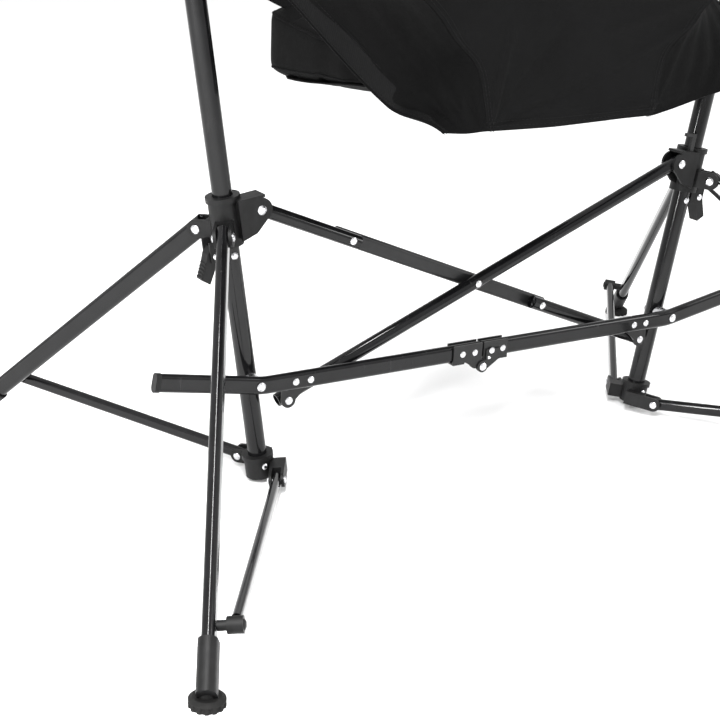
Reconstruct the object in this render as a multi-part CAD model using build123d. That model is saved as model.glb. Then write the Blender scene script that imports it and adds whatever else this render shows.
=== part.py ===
from build123d import *
import os
from math import atan, cos, degrees, radians, sin, sqrt, tan

# Folding camp rocking chair: two leaning posts, each on two folding legs, joined by a hinged
# crossbar and an X brace. The seat hangs from the post tops and swings to and fro.
# Millimetres. +Z up, +Y is the way the sitter faces, X runs from the left post to the right.
# Positions below are given from the posts' own plane; the whole chair is shifted along Y at
# the end so that the origin is the middle of its footprint, on the ground.

LEFT, RIGHT = -1, 1
SIDE_NAMES = {LEFT: "left", RIGHT: "right"}

# Posts
POST_FOOT_X = 277.5          # half the spacing of the posts at the ground
POST_SLOPE = 0.148           # outward lean, run over rise
POST_RADIUS = 11.0
POST_WALL = 1.3
POST_START = 9.0             # distances along a post, from the ground up
POST_END = 786.0
PIVOT_S = 795.0              # the swing pivot

# Sliding collars that carry the legs
COLLAR_LOW = 290.0
COLLAR_HIGH = 345.0
COLLAR_RADIUS = 17.0
COLLAR_BORE = 11.5
LEG_PIVOT_S = 308.4
LEG_PIVOT_R = 33.3
BRACE_PIVOT_S = 325.2
BRACE_PIVOT_R = 33.5
EAR = 3.5                    # thickness of cast ears

# Legs: azimuth from the inboard direction, reach of the foot from the post's line
LEGS = {"rear": (-121.7, 474.0), "front": (126.2, 397.6)}
LEG_WIDTH = 22.0
LEG_THICK = 12.5
LEG_WALL = 1.3
FOOT_HEIGHT = 17.6           # where a leg's line ends, over the ground
PAD_RADIUS = 17.0
SLEEVE_LONG = 38.0
PAD_LOBES = 14

# Hubs at the post feet, and the struts between hub and leg
HUB_RADIUS = 16.5
HUB_LOW = 6.0
HUB_HIGH = 34.0
STRUT_PIVOT_S = 16.0
STRUT_PIVOT_R = 37.1
STRUT_OFFSET = 23.7          # the strut's line lies this far inboard of its leg's
STRUT_WIDTH = 15.0
STRUT_THICK = 10.0
TEE_SHARE = {"rear": 0.885, "front": 0.865}
TEE_RADIUS = 8.2

# Crossbar, behind the posts
BAR_Y = -31.0
BAR_Z = 129.0
BAR_TALL = 21.0
BAR_THICK = 10.6
BAR_END = (417.0, 152.0)
BAR_BEND_X = 292.0
BAR_SCREW_Z = 130.0
HINGE_Z = 110.0
HINGE_PLATE = 2.0

# X brace, between the crossbar and the posts
BRACE_Y = -11.5
BRACE_RADIUS = 8.0
BRACE_FOOT = (256.0, 103.0)
LINK_Y = 1.6
LINK_THICK = 9.0
LINK_WIDTH = 18.0
LINK_PINS = (0.2135, 0.7125)    # shares of the brace's length
CROSSING_SHARE = 0.533

# Swinging seat frame
SWING_INSET = 68.0           # side frames hang this far inboard of the pivots
SIDE_TUBE = 9.5
ARM_PATH = [(-186.0, 671.7), (200.0, 655.0), (214.0, 592.0)]
BACK_LOW = (-160.0, 590.0)
BACK_HIGH = (-345.0, 1052.0)
HANGER_FEET = 58.0

# Soft parts
SEAT_REAR = (-158.0, 424.0)
SEAT_REAR_HALF = 106.0
SEAT_FRONT_Y = 230.0
SEAT_FRONT_HALF = 165.0
CLOTH = 6.0


def side_vector(side):
    """Unit vector up a post."""
    return Vector(side * POST_SLOPE, 0, 1).normalized()


def inboard(side):
    """Unit vector square to a post, towards the middle of the chair."""
    up = side_vector(side)
    return (Vector(-side, 0, 0) + up * (side * up.X)).normalized()


def on_post(side, along, inward=0.0, y=0.0):
    """A point at a distance along a post, and off it inboard and along Y."""
    foot = Vector(side * POST_FOOT_X, 0, 0)
    return foot + side_vector(side) * along + inboard(side) * inward + Vector(0, y, 0)


def leg_frame(side, leg):
    """A leg's outward direction, and the direction across it towards the middle."""
    azimuth = radians(LEGS[leg][0])
    out = inboard(side) * cos(azimuth) + Vector(0, sin(azimuth), 0)
    across = side_vector(side).cross(out)
    if across.X * side > 0:
        across = across * -1
    return out, across


def leg_points(side, leg):
    """Pivot, foot, strut pivot and strut end of one leg."""
    out, across = leg_frame(side, leg)
    reach = LEGS[leg][1]
    pivot = on_post(side, LEG_PIVOT_S) + out * LEG_PIVOT_R
    foot_along = (FOOT_HEIGHT - reach * out.Z) / side_vector(side).Z
    foot = on_post(side, foot_along) + out * reach
    hub = on_post(side, STRUT_PIVOT_S) + out * STRUT_PIVOT_R + across * STRUT_OFFSET
    tee = pivot + (foot - pivot) * TEE_SHARE[leg] + across * STRUT_OFFSET
    return pivot, foot, hub, tee


def rod(start, end, radius):
    """A round bar between two points."""
    axis = end - start
    return extrude(Plane(origin=start, z_dir=axis) * Circle(radius), axis.length)


def pipe(start, end, radius, wall):
    """A round tube between two points."""
    return rod(start, end, radius) - rod(start, end, radius - wall)


def oval(start, end, thin, width, thick):
    """A flat-oval bar between two points; thin is the direction of its small side."""
    axis = end - start
    wide = thin.cross(axis).normalized()
    plane = Plane(origin=start, x_dir=wide, z_dir=axis)
    return extrude(plane * SlotOverall(width, thick), axis.length)


def oval_tube(start, end, thin, width, thick, wall):
    """A flat-oval tube between two points."""
    outer = oval(start, end, thin, width, thick)
    return outer - oval(start, end, thin, width - 2 * wall, thick - 2 * wall)


def plate(origin, x_dir, normal, outline, low, high):
    """An outline drawn in the plane through origin, as thick as low to high along normal."""
    plane = Plane(origin=origin + normal * low, x_dir=x_dir, z_dir=normal)
    return extrude(plane * outline, high - low)


def head(point, direction, radius, height):
    """A domed rivet head that stands on point."""
    base = Plane(origin=point, z_dir=direction)
    rim = extrude(base * Circle(radius), height * 0.4)
    crown_base = Plane(origin=point + direction * (height * 0.4), z_dir=direction)
    crown = crown_base * Pos(0, 0, height * 0.3) * Cone(radius, radius * 0.55, height * 0.6)
    return rim + crown


def rivet(start, end, radius, head_radius, head_height):
    """A shank from start to end with a domed head outside each end."""
    axis = (end - start).normalized()
    return rod(start, end, radius) + head(end, axis, head_radius, head_height) \
        + head(start, axis * -1, head_radius, head_height)


def box_between(origin, x_dir, z_dir, lows, highs):
    """A block with corners lows and highs in the frame at origin."""
    plane = Plane(origin=origin, x_dir=x_dir, z_dir=z_dir)
    size = [high - low for low, high in zip(lows, highs)]
    middle = [(high + low) / 2 for low, high in zip(lows, highs)]
    return plane * Pos(*middle) * Box(*size)


nodes = {}


# ---------------------------------------------------------------- posts, hubs and pivot heads
def clevis(origin, out, across, reach, height, gap):
    """Two ears that reach back from origin along out, with a gap between them."""
    outline = Pos(-reach / 2, 0) * Rectangle(reach, height) + Circle(height / 2)
    ears = plate(origin, out, across, outline, gap / 2, gap / 2 + EAR)
    return ears + plate(origin, out, across, outline, -gap / 2 - EAR, -gap / 2)


def make_post(side):
    """A leaning tube, bored through for the crossbar's screw."""
    tube = pipe(on_post(side, POST_START), on_post(side, POST_END), POST_RADIUS, POST_WALL)
    screw = Vector(side * (POST_FOOT_X + BAR_SCREW_Z * POST_SLOPE), 0, BAR_SCREW_Z)
    return tube - rod(screw + Vector(0, -20, 0), screw + Vector(0, 20, 0), 3.0)


def make_hub(side):
    """The cup at a post's foot, with a fork for each strut."""
    up = side_vector(side)
    cup = rod(on_post(side, HUB_LOW), on_post(side, HUB_HIGH), HUB_RADIUS)
    cup += rod(on_post(side, HUB_HIGH - 5), on_post(side, HUB_HIGH), HUB_RADIUS + 2)
    for leg in LEGS:
        out, across = leg_frame(side, leg)
        pivot = on_post(side, STRUT_PIVOT_S) + out * STRUT_PIVOT_R + across * STRUT_OFFSET
        gap = STRUT_THICK + 0.6
        cup += clevis(pivot, out, across, 18.0, 17.0, gap)
        half = gap / 2 + EAR
        cup += box_between(pivot, out, up, (-STRUT_PIVOT_R - 2, -half, -8.5), (-14.0, half, 8.5))
        cup -= rod(pivot - across * 12, pivot + across * 12, 2.6)
    return cup - rod(on_post(side, POST_START), on_post(side, HUB_HIGH + 9), POST_RADIUS + 0.05)


def make_pivot_head(side):
    """The casting on a post's top that holds the swing pin."""
    low = POST_END - 12
    cap = rod(on_post(side, low), on_post(side, PIVOT_S + 12), POST_RADIUS + 4)
    centre = on_post(side, PIVOT_S)
    cap += rod(centre - Vector(side * 4, 0, 0), centre - Vector(side * 24, 0, 0), 9.0)
    cap -= rod(on_post(side, low - 1), on_post(side, POST_END + 0.1), POST_RADIUS + 0.05)
    return cap - rod(centre + Vector(side * 30, 0, 0), centre - Vector(side * 30, 0, 0), 4.05)


def make_post_fasteners(side):
    """Crossbar screw with its spacer, collar stop, hub bolt and the swing pin with its nut."""
    screw = Vector(side * (POST_FOOT_X + BAR_SCREW_Z * POST_SLOPE), 0, BAR_SCREW_Z)
    back = Vector(0, -1, 0)
    bar_rear = BAR_Y + BAR_THICK / 2
    bar_front = BAR_Y - BAR_THICK / 2
    spacer = rod(screw, Vector(screw.X, bar_rear + 0.2, screw.Z), 8.0)
    spacer -= rod(on_post(side, 90), on_post(side, 180), POST_RADIUS + 0.05)
    spacer -= rod(screw, screw + back * 30, 3.05)
    shank = rod(screw + Vector(0, 12, 0), Vector(screw.X, bar_front - 0.2, screw.Z), 3.0)
    shank += head(Vector(screw.X, bar_front - 0.2, screw.Z), back, 5.2, 2.6)
    shank += head(screw + Vector(0, 11.4, 0), Vector(0, 1, 0), 5.2, 2.4)
    stop = on_post(side, COLLAR_LOW - 11, 0, -POST_RADIUS - 0.1)
    bolt = on_post(side, 22, 0, -HUB_RADIUS - 0.02)
    centre = on_post(side, PIVOT_S)
    inner = centre - Vector(side * (SWING_INSET + 10), 0, 0)
    pin = rod(centre + Vector(side * 18, 0, 0), inner, 4.0)
    pin += head(centre + Vector(side * 18, 0, 0), Vector(side, 0, 0), 8.0, 4.0)
    nut_plane = Plane(origin=inner, z_dir=Vector(side, 0, 0))
    pin += extrude(nut_plane * RegularPolygon(7.0, 6), 6.0)
    return [spacer, shank, head(stop, back, 4.0, 2.2), head(bolt, back, 3.6, 2.0), pin]


# ---------------------------------------------------------------- collars and release levers
def make_collar(side):
    """The casting that slides on a post: leg forks, brace channel and lever ears."""
    up = side_vector(side)
    body = rod(on_post(side, COLLAR_LOW), on_post(side, COLLAR_HIGH), COLLAR_RADIUS)
    body += rod(on_post(side, COLLAR_HIGH - 6), on_post(side, COLLAR_HIGH), COLLAR_RADIUS + 2)
    for leg in LEGS:
        out, across = leg_frame(side, leg)
        pivot = on_post(side, LEG_PIVOT_S) + out * LEG_PIVOT_R
        body += clevis(pivot, out, across, 24.0, 21.0, LEG_THICK + 0.7)
        body += box_between(pivot, out, up, (-20, -9.8, -9.0), (-14.6, 9.8, 12.0))
        body -= rod(pivot - across * 14, pivot + across * 14, 3.1)
    pivot = on_post(side, BRACE_PIVOT_S, BRACE_PIVOT_R, BRACE_Y)
    inward = inboard(side)
    corners = [(-26, 13), (0, 13), (13, 0), (10, -8), (-8, -24), (-26, -29)]
    outline = make_face(Polyline(corners, close=True)) + Circle(13)
    mirror_plane = Plane(origin=pivot, x_dir=inward, z_dir=inward.cross(up))
    half = BRACE_RADIUS + 0.4
    for low, high in ((half, half + 3.0), (-half - 3.0, -half)):
        body += extrude(mirror_plane * Pos(0, 0, low) * outline, high - low)
    body += box_between(pivot, inward, up, (-26, -half - 3.0, 13), (6, half + 3.0, 16))
    body += box_between(pivot, inward, up, (-26, -half - 3.0, -27), (-17.5, half, 13))
    body -= rod(pivot - Vector(0, 16, 0), pivot + Vector(0, 16, 0), 3.1)
    lever_pivot = on_post(side, COLLAR_LOW - 6, -21)
    for y in (7.6, -10.6):
        body += box_between(lever_pivot, inward, up, (-6, y, -7), (14, y + 3.0, 16))
    body -= rod(lever_pivot - Vector(0, 14, 0), lever_pivot + Vector(0, 14, 0), 2.6)
    return body - rod(on_post(side, COLLAR_LOW - 30), on_post(side, COLLAR_HIGH + 9), COLLAR_BORE)


def make_collar_pins(side):
    """The pins of the two leg forks, the brace channel and the lever."""
    pins = []
    for leg in LEGS:
        out, across = leg_frame(side, leg)
        pivot = on_post(side, LEG_PIVOT_S) + out * LEG_PIVOT_R
        half = LEG_THICK / 2 + 0.35 + EAR + 0.05
        pins.append(rivet(pivot - across * half, pivot + across * half, 3.0, 5.0, 2.6))
    pivot = on_post(side, BRACE_PIVOT_S, BRACE_PIVOT_R, BRACE_Y)
    half = Vector(0, BRACE_RADIUS + 3.5, 0)
    pins.append(rivet(pivot - half, pivot + half, 3.0, 5.2, 2.8))
    lever_pivot = on_post(side, COLLAR_LOW - 6, -21)
    half = Vector(0, 10.7, 0)
    pins.append(rivet(lever_pivot - half, lever_pivot + half, 2.5, 3.8, 1.8))
    return pins


def make_lever(side):
    """The ribbed trigger that frees a collar."""
    up = side_vector(side)
    outward = inboard(side) * -1
    pivot = on_post(side, COLLAR_LOW - 6, -21)
    plane = Plane(origin=pivot, x_dir=outward, z_dir=outward.cross(up))
    corners = [(-6, 5), (3, 9), (8, 3), (12, -8), (19, -24), (10, -31), (4, -20), (-2, -8)]
    paddle = extrude(plane * Pos(0, 0, -7.2) * make_face(Polyline(corners, close=True)), 14.4)
    for step in range(5):
        centre = plane * Pos(11.6 + step * 1.6, -7.5 - step * 3.6, 0)
        paddle += centre * Cylinder(1.1, 13.0)
    return paddle - rod(pivot - Vector(0, 9, 0), pivot + Vector(0, 9, 0), 2.6)


def make_hook():
    """The small bag hook that stands on the right collar."""
    up = side_vector(RIGHT)
    inward = inboard(RIGHT)
    start = on_post(RIGHT, COLLAR_HIGH, 19, -17)
    stem = box_between(start, inward, up, (-3, -2, -4), (3, 2, 18))
    hook = stem + box_between(start, inward, up, (-3, -2, 14), (14, 2, 18))
    return hook - make_collar(RIGHT)


# ---------------------------------------------------------------- legs, feet and struts
def make_leg(side, leg):
    """The leg tube with its shoe and rubber pad."""
    out, across = leg_frame(side, leg)
    pivot, foot, hub, tee = leg_points(side, leg)
    along = (foot - pivot).normalized()
    tube = oval_tube(pivot - along * 8, foot - along * 10, across, LEG_WIDTH, LEG_THICK, LEG_WALL)
    tube -= rod(pivot - across * 12, pivot + across * 12, 3.1)
    shoe_start = foot - along * (SLEEVE_LONG + 6)
    shoe_end = foot + along * 8
    shoe = oval(shoe_start, shoe_end, across, LEG_WIDTH + 5, LEG_THICK + 6)
    shoe -= oval(shoe_start - along, foot - along * 9.9, across, LEG_WIDTH + 0.1, LEG_THICK + 0.1)
    ground = Vector(foot.X, foot.Y, 0)
    pad = Pos(ground) * Pos(0, 0, 3.5) * Cylinder(PAD_RADIUS, 7)
    pad += Pos(ground) * Pos(0, 0, 8.5) * Cone(PAD_RADIUS, PAD_RADIUS - 4, 3)
    pad += Pos(ground) * Pos(0, 0, 13) * Cylinder(8, 8)
    for lobe in range(PAD_LOBES):
        around = Rot(0, 0, lobe * 360 / PAD_LOBES) * Pos(PAD_RADIUS + 1.6, 0, 3)
        pad -= Pos(ground) * around * Cylinder(3.0, 6.2)
    pad -= oval(shoe_start, shoe_end + along * 0.1, across, LEG_WIDTH + 5.1, LEG_THICK + 6.1)
    return tube, shoe, pad


def make_strut(side, leg):
    """The strut from hub to leg, and the tee that ends just short of the leg tube."""
    out, across = leg_frame(side, leg)
    pivot, foot, hub, tee = leg_points(side, leg)
    along = (tee - hub).normalized()
    stop = tee - along * (TEE_RADIUS + 0.1)
    tube = oval_tube(hub - along * 6, stop, across, STRUT_WIDTH, STRUT_THICK, 1.2)
    tube -= rod(hub - across * 9, hub + across * 9, 2.6)
    knob = rod(tee - across * 7.5, tee + across * 7.5, TEE_RADIUS)
    stub_end = STRUT_OFFSET - LEG_THICK / 2 - 0.6
    knob += rod(tee - across * stub_end, tee, 5.0)
    knob += head(tee + across * 7.5, across, 5.0, 2.0)
    return tube, knob


def make_hub_pins(side):
    """The pins of a hub's two forks."""
    pins = []
    for leg in LEGS:
        out, across = leg_frame(side, leg)
        hub = leg_points(side, leg)[2]
        half = STRUT_THICK / 2 + 0.3 + EAR + 0.05
        pins.append(rivet(hub - across * half, hub + across * half, 2.5, 4.4, 2.2))
    return pins


# ---------------------------------------------------------------- crossbar
def bar_sweep(side, width, thick):
    """The crossbar half's path filled with a flat oval."""
    points = [(side * 1.0, BAR_Y, BAR_Z), (side * BAR_BEND_X, BAR_Y, BAR_Z),
              (side * BAR_END[0], BAR_Y, BAR_END[1])]
    path = FilletPolyline(*points, radius=90)
    start = Plane(origin=points[0], x_dir=(0, 0, 1), z_dir=(side, 0, 0))
    return sweep(start * SlotOverall(width, thick), path=path)


def bar_direction(side):
    """Unit vector along the bent end of a crossbar half."""
    rise = BAR_END[1] - BAR_Z
    return Vector(side * (BAR_END[0] - BAR_BEND_X), 0, rise).normalized()


BRACKET_RIVETS = (253.0, 234.0)
HINGE_RIVETS = (29.0, 11.5)


def make_bar(side):
    """A crossbar half: bent flat-oval tube, end cap, brackets and rivets."""
    back = Vector(0, -1, 0)
    tube = bar_sweep(side, BAR_TALL, BAR_THICK)
    tube -= bar_sweep(side, BAR_TALL - 2.8, BAR_THICK - 2.8)
    screw_x = POST_FOOT_X + BAR_SCREW_Z * POST_SLOPE
    for x, z, radius in [(screw_x, BAR_SCREW_Z, 3.2)] + \
            [(x, BAR_Z, 2.05) for x in BRACKET_RIVETS + HINGE_RIVETS]:
        hole = Vector(side * x, BAR_Y, z)
        tube -= rod(hole - Vector(0, 12, 0), hole + Vector(0, 12, 0), radius)
    end = Vector(side * BAR_END[0], BAR_Y, BAR_END[1])
    across = Vector(0, 1, 0)
    cap = oval(end + bar_direction(side) * 0.1, end + bar_direction(side) * 6, across,
               BAR_TALL + 1.2, BAR_THICK + 1.2)
    return tube, cap


def make_brackets(side):
    """The brace bracket under a crossbar half, and its half of the centre hinge."""
    rear = BAR_Y + BAR_THICK / 2 + 0.1
    corners = [(side * 264, 136), (side * 226, 136), (side * 226, 121), (side * 240, 110),
               (side * 256, 94), (side * 265, 103)]
    outline = make_face(Polyline(corners, close=True))
    outline += Pos(side * BRACE_FOOT[0], BRACE_FOOT[1]) * Circle(9)
    plane = Plane(origin=(0, rear + 3.0, 0), x_dir=(1, 0, 0), z_dir=(0, -1, 0))
    bracket = extrude(plane * outline, 3.0)
    for x in BRACKET_RIVETS:
        hole = Vector(side * x, rear, BAR_Z)
        bracket -= rod(hole - Vector(0, 6, 0), hole + Vector(0, 6, 0), 2.05)
    long = 42.0 if side == LEFT else 36.0
    inner = BAR_THICK / 2 + 0.2
    outer = inner + HINGE_PLATE
    wrap = Pos(side * (long + 1.2) / 2, BAR_Z) * Rectangle(long - 1.2, BAR_TALL + 1)
    web_corners = [(side * 24, BAR_Z - 11), (side * 1.0, BAR_Z - 11), (side * 1.0, HINGE_Z),
                   (side * 7.0, HINGE_Z - 3)]
    lug = make_face(Polyline(web_corners, close=True)) + Pos(0, HINGE_Z) * Circle(7.4)
    lug_low, lug_high = (inner, outer) if side == LEFT else (outer + 0.2, outer + HINGE_PLATE)
    hinge = None
    for face in (LEFT, RIGHT):
        layers = [(wrap, inner, outer), (lug, lug_low, lug_high)]
        if side == RIGHT:
            shoulder = Pos(side * 14, BAR_Z - 5) * Rectangle(20, 14)
            layers.append((shoulder, inner, lug_high))
        for outline, low, high in layers:
            start = BAR_Y + (low if face == RIGHT else -high)
            plane = Plane(origin=(0, start + high - low, 0), x_dir=(1, 0, 0), z_dir=(0, -1, 0))
            slab = extrude(plane * outline, high - low)
            hinge = slab if hinge is None else hinge + slab
    for x in HINGE_RIVETS:
        hole = Vector(side * x, BAR_Y, BAR_Z)
        hinge -= rod(hole - Vector(0, 14, 0), hole + Vector(0, 14, 0), 2.05)
    pin = Vector(0, BAR_Y, HINGE_Z)
    hinge -= rod(pin - Vector(0, 14, 0), pin + Vector(0, 14, 0), 3.1)
    under = box_between(Vector(side * (long + 26) / 2, BAR_Y, BAR_Z - BAR_TALL / 2 - 1.2),
                        Vector(1, 0, 0), Vector(0, 0, 1), (-(long - 26) / 2, -outer, -1.0),
                        ((long - 26) / 2, outer, 1.0))
    return [bracket, hinge + under]


def make_bar_fasteners(side):
    """Rivets of a crossbar half; the left half also holds the hinge pin, the right the button."""
    front = BAR_Y - BAR_THICK / 2
    rear = BAR_Y + BAR_THICK / 2
    found = []
    for x in BRACKET_RIVETS:
        start = Vector(side * x, rear + 3.1, BAR_Z)
        found.append(rivet(start, Vector(side * x, front - 0.05, BAR_Z), 2.0, 4.0, 1.8))
    plate_out = HINGE_PLATE + 0.25
    if side == RIGHT:
        plate_out = 2 * HINGE_PLATE + 0.25
    for x in HINGE_RIVETS:
        out = plate_out if side == LEFT or x < 20 else HINGE_PLATE + 0.25
        start = Vector(side * x, rear + out, BAR_Z)
        found.append(rivet(start, Vector(side * x, front - out, BAR_Z), 2.0, 3.8, 1.2))
    foot = Vector(side * BRACE_FOOT[0], rear + 0.1, BRACE_FOOT[1])
    found.append(head(foot, Vector(0, -1, 0), 4.6, 2.2))
    reach = BAR_THICK / 2 + 2 * HINGE_PLATE + 0.3
    if side == LEFT:
        pin = rod(Vector(0, BAR_Y + reach, HINGE_Z), Vector(0, BAR_Y - reach, HINGE_Z), 3.0)
        found.append(pin + head(Vector(0, BAR_Y - reach, HINGE_Z), Vector(0, -1, 0), 4.8, 2.0))
    else:
        spot = Vector(side * 8, BAR_Y - reach + 0.05, BAR_Z - 8.5)
        found.append(head(spot, Vector(0, -1, 0), 2.2, 2.0))
    return found


# ---------------------------------------------------------------- X brace
def brace_points(side):
    """Upper pivot, at a collar, and lower pivot, on the far crossbar half."""
    top = on_post(side, BRACE_PIVOT_S, BRACE_PIVOT_R, BRACE_Y)
    return top, Vector(-side * BRACE_FOOT[0], BRACE_Y, BRACE_FOOT[1])


def brace_tube(start, end, pivots):
    """A brace tube with a bore at each pivot."""
    tube = pipe(start, end, BRACE_RADIUS, 1.2)
    for pivot, radius in pivots:
        tube -= rod(pivot - Vector(0, 10, 0), pivot + Vector(0, 10, 0), radius)
    return tube


def make_left_brace():
    """The brace that steps back behind the other one: two tubes and a flat link."""
    top, foot = brace_points(LEFT)
    along = (foot - top).normalized()
    pin_a = top + (foot - top) * LINK_PINS[0]
    pin_b = top + (foot - top) * LINK_PINS[1]
    upper = brace_tube(top - along * 9, pin_a + along * 12, [(top, 3.1), (pin_a, 2.55)])
    lower = brace_tube(pin_b - along * 12, foot + along * 9, [(foot, 3.4), (pin_b, 2.55)])
    step = Vector(0, LINK_Y - BRACE_Y, 0)
    link = oval_tube(pin_a - along * 14 + step, pin_b + along * 14 + step, Vector(0, 1, 0),
                     LINK_WIDTH, LINK_THICK, 1.2)
    rivets = []
    for pin in (pin_a, pin_b):
        link -= rod(pin, pin + Vector(0, 30, 0), 2.55)
        start = pin + Vector(0, LINK_Y - BRACE_Y + LINK_THICK / 2 + 0.05, 0)
        rivets.append(rivet(start, pin - Vector(0, BRACE_RADIUS + 0.05, 0), 2.5, 4.2, 1.4))
    return [upper, lower], link, rivets


def make_right_brace():
    """The straight brace, and the crossing rivet that it carries."""
    top, foot = brace_points(RIGHT)
    along = (foot - top).normalized()
    crossing = top + (foot - top) * CROSSING_SHARE
    tube = brace_tube(top - along * 9, foot + along * 9, [(top, 3.1), (crossing, 2.55),
                                                          (foot, 3.4)])
    front = crossing - Vector(0, BRACE_RADIUS + 0.05, 0)
    shank = rod(crossing + Vector(0, BRACE_RADIUS - 0.2, 0), front, 2.5)
    return tube, shank + head(front, Vector(0, -1, 0), 4.2, 2.0)


# ---------------------------------------------------------------- swinging seat frame
SIDE_X = POST_FOOT_X + sin(atan(POST_SLOPE)) * PIVOT_S - SWING_INSET
PIVOT_Z = cos(atan(POST_SLOPE)) * PIVOT_S


def in_side(side, point):
    """A point of a side frame from its Y and Z."""
    return Vector(side * SIDE_X, point[0], point[1])


def arm_solid(side, radius):
    """The arm tube's path filled with a round section."""
    path = FilletPolyline(*[in_side(side, point) for point in ARM_PATH], radius=38)
    start = in_side(side, ARM_PATH[0])
    along = in_side(side, ARM_PATH[1]) - start
    return sweep(Plane(origin=start, z_dir=along) * Circle(radius), path=path)


def arm_height(y):
    """Height of the arm tube's line over the ground."""
    (y_0, z_0), (y_1, z_1) = ARM_PATH[0], ARM_PATH[1]
    return z_0 + (z_1 - z_0) * (y - y_0) / (y_1 - y_0)


def make_arm(side):
    """The armrest tube, bent down at the front and cut at the rear to meet the back tube."""
    tube = arm_solid(side, SIDE_TUBE) - arm_solid(side, SIDE_TUBE - 1.3)
    return tube - rod(in_side(side, BACK_LOW), in_side(side, BACK_HIGH), SIDE_TUBE + 0.02)


def make_back_tube(side):
    """The backrest's side tube."""
    return pipe(in_side(side, BACK_LOW), in_side(side, BACK_HIGH), SIDE_TUBE, 1.3)


def make_hanger(side):
    """The plate that hangs the arm tube from the swing pin, with two clamps on the tube."""
    feet = HANGER_FEET + 13
    rest = SIDE_TUBE + 0.1
    corners = [(-feet, arm_height(-feet) + rest), (feet, arm_height(feet) + rest),
               (13, PIVOT_Z), (-13, PIVOT_Z)]
    outline = make_face(Polyline(corners, close=True)) + Pos(0, PIVOT_Z) * Circle(15)
    window = [(-30, arm_height(0) + 26), (30, arm_height(0) + 26), (5, PIVOT_Z - 36),
              (-5, PIVOT_Z - 36)]
    outline -= make_face(Polyline(window, close=True))
    plane = Plane(origin=(side * SIDE_X - 3, 0, 0), x_dir=(0, 1, 0), z_dir=(1, 0, 0))
    hanger = extrude(plane * outline, 6.0)
    for y in (-HANGER_FEET, HANGER_FEET):
        ends = [in_side(side, (y + step, arm_height(y + step))) for step in (-13, 13)]
        hanger += rod(ends[0], ends[1], SIDE_TUBE + 3)
    hanger -= rod(in_side(side, ARM_PATH[0]), in_side(side, ARM_PATH[1]), SIDE_TUBE + 0.05)
    pivot = in_side(side, (0, PIVOT_Z))
    return hanger - rod(pivot - Vector(9, 0, 0), pivot + Vector(9, 0, 0), 4.1)


def make_arm_pad(side):
    """The foam sleeve on an arm tube, in two lengths, behind and before the hanger."""
    pads = []
    for y_0, y_1 in ((-165.0, -75.0), (75.0, 160.0)):
        ends = [in_side(side, (y, arm_height(y) - 1.5)) for y in (y_0, y_1)]
        sleeve = oval(ends[0], ends[1], Vector(0, 0, 1), 34.0, 26.0)
        pads.append(sleeve - rod(in_side(side, ARM_PATH[0]), in_side(side, ARM_PATH[1]),
                                 SIDE_TUBE + 0.05))
    return pads


# ---------------------------------------------------------------- soft parts
def make_seat_cushion():
    """The seat: a wedge-shaped pad, higher and wider at the front."""
    y, z = SEAT_REAR
    floor_face = make_face(Polyline([(-SEAT_REAR_HALF, y + 7), (SEAT_REAR_HALF, y + 7),
                                     (SEAT_FRONT_HALF, 40), (SEAT_FRONT_HALF, SEAT_FRONT_Y),
                                     (-SEAT_FRONT_HALF, SEAT_FRONT_Y), (-SEAT_FRONT_HALF, 40)],
                                    close=True))
    block = extrude(Pos(0, 0, z + 1) * floor_face, 90)
    slope = [(y, z + 42), (SEAT_FRONT_Y + 1, z + 82), (SEAT_FRONT_Y + 1, z + 120), (y, z + 120)]
    side = Plane(origin=(-200, 0, 0), x_dir=(0, 1, 0), z_dir=(1, 0, 0))
    return block - extrude(side * make_face(Polyline(slope, close=True)), 400)


WING_FOOT = (170.0, -164.0, 434.0)
WING_FRONT = (SIDE_X - 14, 150.0, 645.0)
WING_REAR = (SIDE_X - 14, -158.0, 612.0)


def sheet_between(points, thickness):
    """A flat piece of cloth with the given corners, thickened to one side."""
    corners = [Vector(*point) for point in points]
    normal = (corners[1] - corners[0]).cross(corners[2] - corners[0]).normalized()
    if normal.Z < 0:
        normal = normal * -1
    face = make_face(Polyline(corners, close=True))
    return extrude(face, amount=thickness, dir=normal)


def make_side_wings():
    """The two side wings, from the rear corner of the seat up to the arm tubes."""
    wings = []
    for side in (LEFT, RIGHT):
        corners = [(side * x, y, z) for x, y, z in (WING_FOOT, WING_FRONT, WING_REAR)]
        wings.append(sheet_between(corners, CLOTH))
    return wings


def make_hem_straps():
    """The webbing along the lower hem of each side wing."""
    straps = []
    for side in (LEFT, RIGHT):
        start = Vector(side * WING_FOOT[0], WING_FOOT[1], WING_FOOT[2] - 12)
        end = Vector(side * WING_FRONT[0], WING_FRONT[1], WING_FRONT[2] - 12)
        straps.append(oval(start, end, Vector(side, 0, 0.7).normalized(), 30, 3))
    return straps


def make_front_straps():
    """The webbing that hangs the seat's front corners from the arm tubes."""
    straps = []
    for side in (LEFT, RIGHT):
        start = Vector(side * (SEAT_FRONT_HALF + 3), 205, SEAT_REAR[1] + 76)
        end = Vector(side * (SIDE_X - 11), 206, 596)
        straps.append(oval(start, end, Vector(side, 0, -1.4).normalized(), 30, 3))
    return straps


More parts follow.
